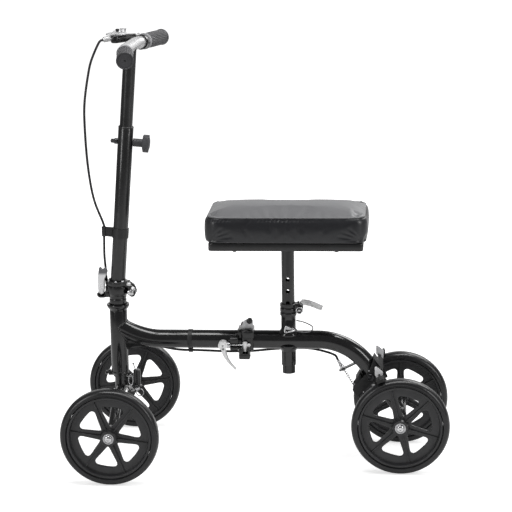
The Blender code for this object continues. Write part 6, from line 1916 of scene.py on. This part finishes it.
def make_lever():
    plate = rounded([(-0.0600, 0.0470), (-0.0590, 0.0600), (-0.0545, 0.0760), (-0.0500, 0.0860),
                     (-0.0420, 0.0890), (-0.0350, 0.0800), (-0.0200, 0.0700), (-0.0180, 0.0560),
                     (-0.0300, 0.0460), (-0.0480, 0.0430)], 0.0040, steps=5)
    line = [(-0.0470, 0.0780, 0.0180), (-0.0455, 0.0860, 0.0150), (-0.0400, 0.1020, 0.0095),
            (-0.0325, 0.1280, 0.0050), (-0.0255, 0.1560, 0.0015), (-0.0205, 0.1780, -0.0005),
            (-0.0190, 0.1900, 0.0005), (-0.0200, 0.1935, 0.0010)]
    widths = [0.0120, 0.0100, 0.0096, 0.0100, 0.0104, 0.0104, 0.0110, 0.0104]
    thicks = [0.0080, 0.0060, 0.0042, 0.0040, 0.0040, 0.0040, 0.0056, 0.0064]
    blade = ribbon(line, (1, 0, 0), widths, thicks)
    shapes = [slab(evened(plate, 99), 0.0170, 0.0208, None, 0.0010), blade]
    post = [(0.0, 0.0200), (0.0030, 0.0200), (0.0026, 0.0215), (0.0022, 0.0258),
            (0.0026, 0.0272), (0.0034, 0.0284), (0.0034, 0.0296), (0.0, 0.0300)]
    shapes += [spun(post, 0.0004, 24, Matrix.Translation((x, 0.0640, 0)))
               for x in (-0.0300, -0.0228)]
    look("brake_lever", [moved(shape, BAR) for shape in shapes], bar_silver)


def make_button():
    knob = [(0.0, 0.0200), (0.0026, 0.0200), (0.0026, 0.0222), (0.0040, 0.0230),
            (0.0044, 0.0248), (0.0038, 0.0266), (0.0, 0.0272)]
    place = BAR @ Matrix.Translation((-0.0415, 0.0800, 0))
    look("parking_button", [spun(knob, 0.0006, 36, place)], soft_black)


make_perch()
make_lever()
make_button()
print("brake lever made")

# %% [markdown]
# ## Brake cable
# One outer cable runs from the lever down to the rear brake. It follows the joints it
# crosses, in four lengths.

# %% Cable lengths
CABLE_R = 0.0025
CABLE_STEP = 0.004


def cable(name, knots):
    """A round cord on a cubic through its route."""
    line = flow([tuple(knot) for knot in knots], 10)
    line = resample(line, max(12, int(walk(line)[-1] / CABLE_STEP)))
    piece = skin(name + "_look", [swept(line, circle(CABLE_R, 16), reference=(0.1, 1, 0.1))],
                 cable_black, None, "cable", [name], sharp=60)
    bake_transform(piece)


def make_cables():
    clip = column_point(-0.0345, 0, 0.1230)
    up = Vector((0, 0, 1))
    tip = bar_point(-0.0640, 0.0394, 0.0088)
    upper = [tip, bar_point(-0.0710, 0.0340, 0.0040), (-0.3345, 0.0250, 0.8330),
             (-0.3415, 0.0190, 0.8050), (-0.3500, 0.0130, 0.7500), (-0.3515, 0.0100, 0.7024),
             (-0.3475, 0.0060, 0.6200), (-0.3370, 0.0020, 0.5500), clip + up * 0.0150,
             clip + up * 0.0003]
    cable("cable_upper", upper)
    middle = [clip - up * 0.0003, clip - up * 0.0150, (-0.3200, 0.0080, 0.4300),
              (-0.3195, 0.0150, 0.4000), (-0.3190, 0.0200, 0.3750), (-0.3150, 0.0250, 0.3500),
              (-0.3090, 0.0290, 0.3350)]
    cable("cable_middle", middle)
    front = [(-0.3088, 0.0291, 0.3344), (-0.3010, 0.0315, 0.3120), (-0.2860, 0.0310, 0.2800),
             (-0.2600, 0.0270, 0.2530), (-0.2250, 0.0180, 0.2360), (-0.1850, 0.0060, 0.2300),
             (RING_X - 0.0150, 0, RING_Z), (RING_X - 0.0003, 0, RING_Z)]
    cable("cable_front", front)
    ferrule = wire_point(-0.0227)
    rear = [(RING_X + 0.0003, 0, RING_Z), (-0.1100, 0, 0.2280), (-0.0620, 0.0010, 0.2262),
            (-0.0169, 0.0080, 0.2255), (0.0200, 0.0180, 0.2262), (0.0600, 0.0220, 0.2280),
            (0.1000, 0.0160, 0.2295), (0.1300, 0.0050, 0.2275),
            ferrule - WIRE_ALONG * 0.0120, ferrule]
    cable("cable_rear", rear)


make_cables()

# %% [markdown]
# ## Brake wire and spring
# Past the stop arm the bare inner wire runs on to the brake yoke inside an open spring, which
# pushes the shoes off the tyres when the lever is let go.

# %% Wire and spring
def make_spring():
    """A helix of eight even turns round the wire, and the wire itself."""
    turns, radius, wire = 8, 0.0040, 0.0005
    place = along_axis(wire_point(0.0026), WIRE_ALONG)
    t = np.linspace(0, 1, turns * 32 + 1)
    line = np.stack([radius * np.cos(2 * pi * turns * t), radius * np.sin(2 * pi * turns * t),
                     0.0396 * t], -1)
    coil = swept(line, circle(wire, 10), reference=(0, 0, 1))
    look("brake_spring", [moved(coil, place)], steel, sharp=70)
    run = np.array([tuple(wire_point(d)) for d in np.linspace(-0.0100, 0.0416, 12)])
    look("brake_inner_wire", [swept(run, circle(0.0008, 12))], steel, sharp=70)


make_spring()
print("cables and spring made")

# %% [markdown]
# ## The other small parts
# The hinge pin, the rear cable adjuster, the cable clip, the brake shoes and the column's
# knob keep the shape of their solids.

# %% Dress the small parts
SMALL_PARTS = {
    steel: ["hinge_pin", "cable_adjuster_rear"],
    soft_black: ["cable_clip"],
    brake_rubber: ["brake_shoe_left", "brake_shoe_right"],
    grip_rubber: ["column_knob"],
}
for material, members in SMALL_PARTS.items():
    for node in members:
        dress(node, material)
print("small parts dressed:", sum(len(members) for members in SMALL_PARTS.values()))

# %% [markdown]
# ## Camera, floor and light
# The camera stands about 3.6 m to the left of the walker and a little above it, with a long
# lens. Large soft lamps above and at the sides draw the long pale streaks on the tubes.

# %% Camera
SENSOR_WIDTH = 36.0
PICTURE_WIDTH = 512
FOCAL_PIXELS = 1811.865
CAMERA_PLACE = (0.28880, -3.59886, 1.29180)


def make_camera():
    """Right, up and ahead follow from yaw, pitch and roll; lens = focal x sensor / width."""
    yaw, pitch, roll = -0.08147, 0.23424, -0.01579
    ahead = Vector((sin(yaw) * cos(pitch), cos(yaw) * cos(pitch), -sin(pitch)))
    level = Vector((cos(yaw), -sin(yaw), 0))
    above = level.cross(ahead)
    right = cos(roll) * level + sin(roll) * above
    up = -sin(roll) * level + cos(roll) * above
    turn = Matrix((right, up, -ahead)).transposed().to_4x4()
    data = bpy.data.cameras.new("camera")
    data.sensor_width = SENSOR_WIDTH
    data.lens = FOCAL_PIXELS / PICTURE_WIDTH * SENSOR_WIDTH
    camera = new_object("camera", data)
    camera.matrix_world = Matrix.Translation(CAMERA_PLACE) @ turn
    bpy.context.scene.camera = camera


make_camera()
print("camera at", CAMERA_PLACE)

# %% [markdown]
# The floor is a big pale sheet. To the camera it also glows, more with distance, so that it
# meets the white world without an edge; to the lamps and in reflections it is a matt surface
# that takes the walker's soft shadow.

# %% Floor and world
def make_floor():
    """A flat grid, 24 m across. Its glow grows with distance, which hides the horizon."""
    span = np.linspace(-12, 12, 3)
    x, y = np.meshgrid(span, span, indexing="ij")
    mesh = new_mesh("floor", *patch(np.stack([x, y, np.zeros_like(x)], -1)))
    floor = new_object("floor", mesh)
    material, tree, links, shader = new_finish("floor_white", (0.80, 0.80, 0.80), 0.9)
    shader.inputs["Specular IOR Level"].default_value = 0.0
    shader.inputs["Emission Color"].default_value = (1, 1, 1, 1)
    length = tree.new("ShaderNodeVectorMath")
    length.operation = "LENGTH"
    links.new(object_place(tree), length.inputs[0])
    glow = mapped(tree, links, length.outputs["Value"], 0.5, 1.8, 0.62, 1.0)
    path = tree.new("ShaderNodeLightPath")
    level = tree.new("ShaderNodeMath")
    level.operation = "MULTIPLY"
    links.new(path.outputs["Is Camera Ray"], level.inputs[0])
    links.new(glow, level.inputs[1])
    links.new(level.outputs[0], shader.inputs["Emission Strength"])
    mesh.materials.append(material)


def make_world():
    """White to the camera; to everything else a weak light of 0.16."""
    world = bpy.data.worlds.new("studio")
    bpy.context.scene.world = world
    world.use_nodes = True
    tree, links = world.node_tree.nodes, world.node_tree.links
    background = tree["Background"]
    background.inputs["Color"].default_value = (1, 1, 1, 1)
    path = tree.new("ShaderNodeLightPath")
    level = mapped(tree, links, path.outputs["Is Camera Ray"], 0.0, 1.0, 0.16, 1.0)
    links.new(level, background.inputs["Strength"])


make_floor()
make_world()
print("floor and world made")

# %% [markdown]
# A long box overhead draws the streak along the beam and lights the cushion. Two upright
# strips edge the column and the wheels, and a broad box behind lights the far side. A wide
# backdrop, hidden from the camera, adds light from behind.

# %% Lamps
def softbox(name, place, aim, width, height, power):
    data = bpy.data.lights.new(name, "AREA")
    data.shape = "RECTANGLE"
    data.size = width
    data.size_y = height
    data.energy = power
    lamp = new_object(name, data)
    lamp.location = place
    lamp.rotation_euler = (Vector(aim) - Vector(place)).to_track_quat("-Z", "Y").to_euler()


softbox("lamp_above", (0.1, -0.2, 2.5), (0.0, 0.0, 0.3), 2.4, 0.8, 44.0)
softbox("lamp_left", (-2.3, -2.2, 1.5), (-0.1, 0.0, 0.45), 0.5, 1.9, 26.0)
softbox("lamp_right", (2.6, -1.5, 1.5), (0.1, 0.0, 0.35), 0.6, 1.7, 26.0)
softbox("lamp_back", (1.4, 2.0, 2.1), (0.0, 0.0, 0.4), 1.7, 1.1, 30.0)
softbox("backdrop", (0.0, 3.2, 1.05), (0.0, 0.0, 0.55), 4.4, 1.3, 14.0)
bpy.data.objects["backdrop"].visible_camera = False
print("lamps:", len(bpy.data.lights))

# %% [markdown]
# Colours are shown as they are, with no film look.

# %% Finish
bpy.context.scene.view_settings.view_transform = "Standard"
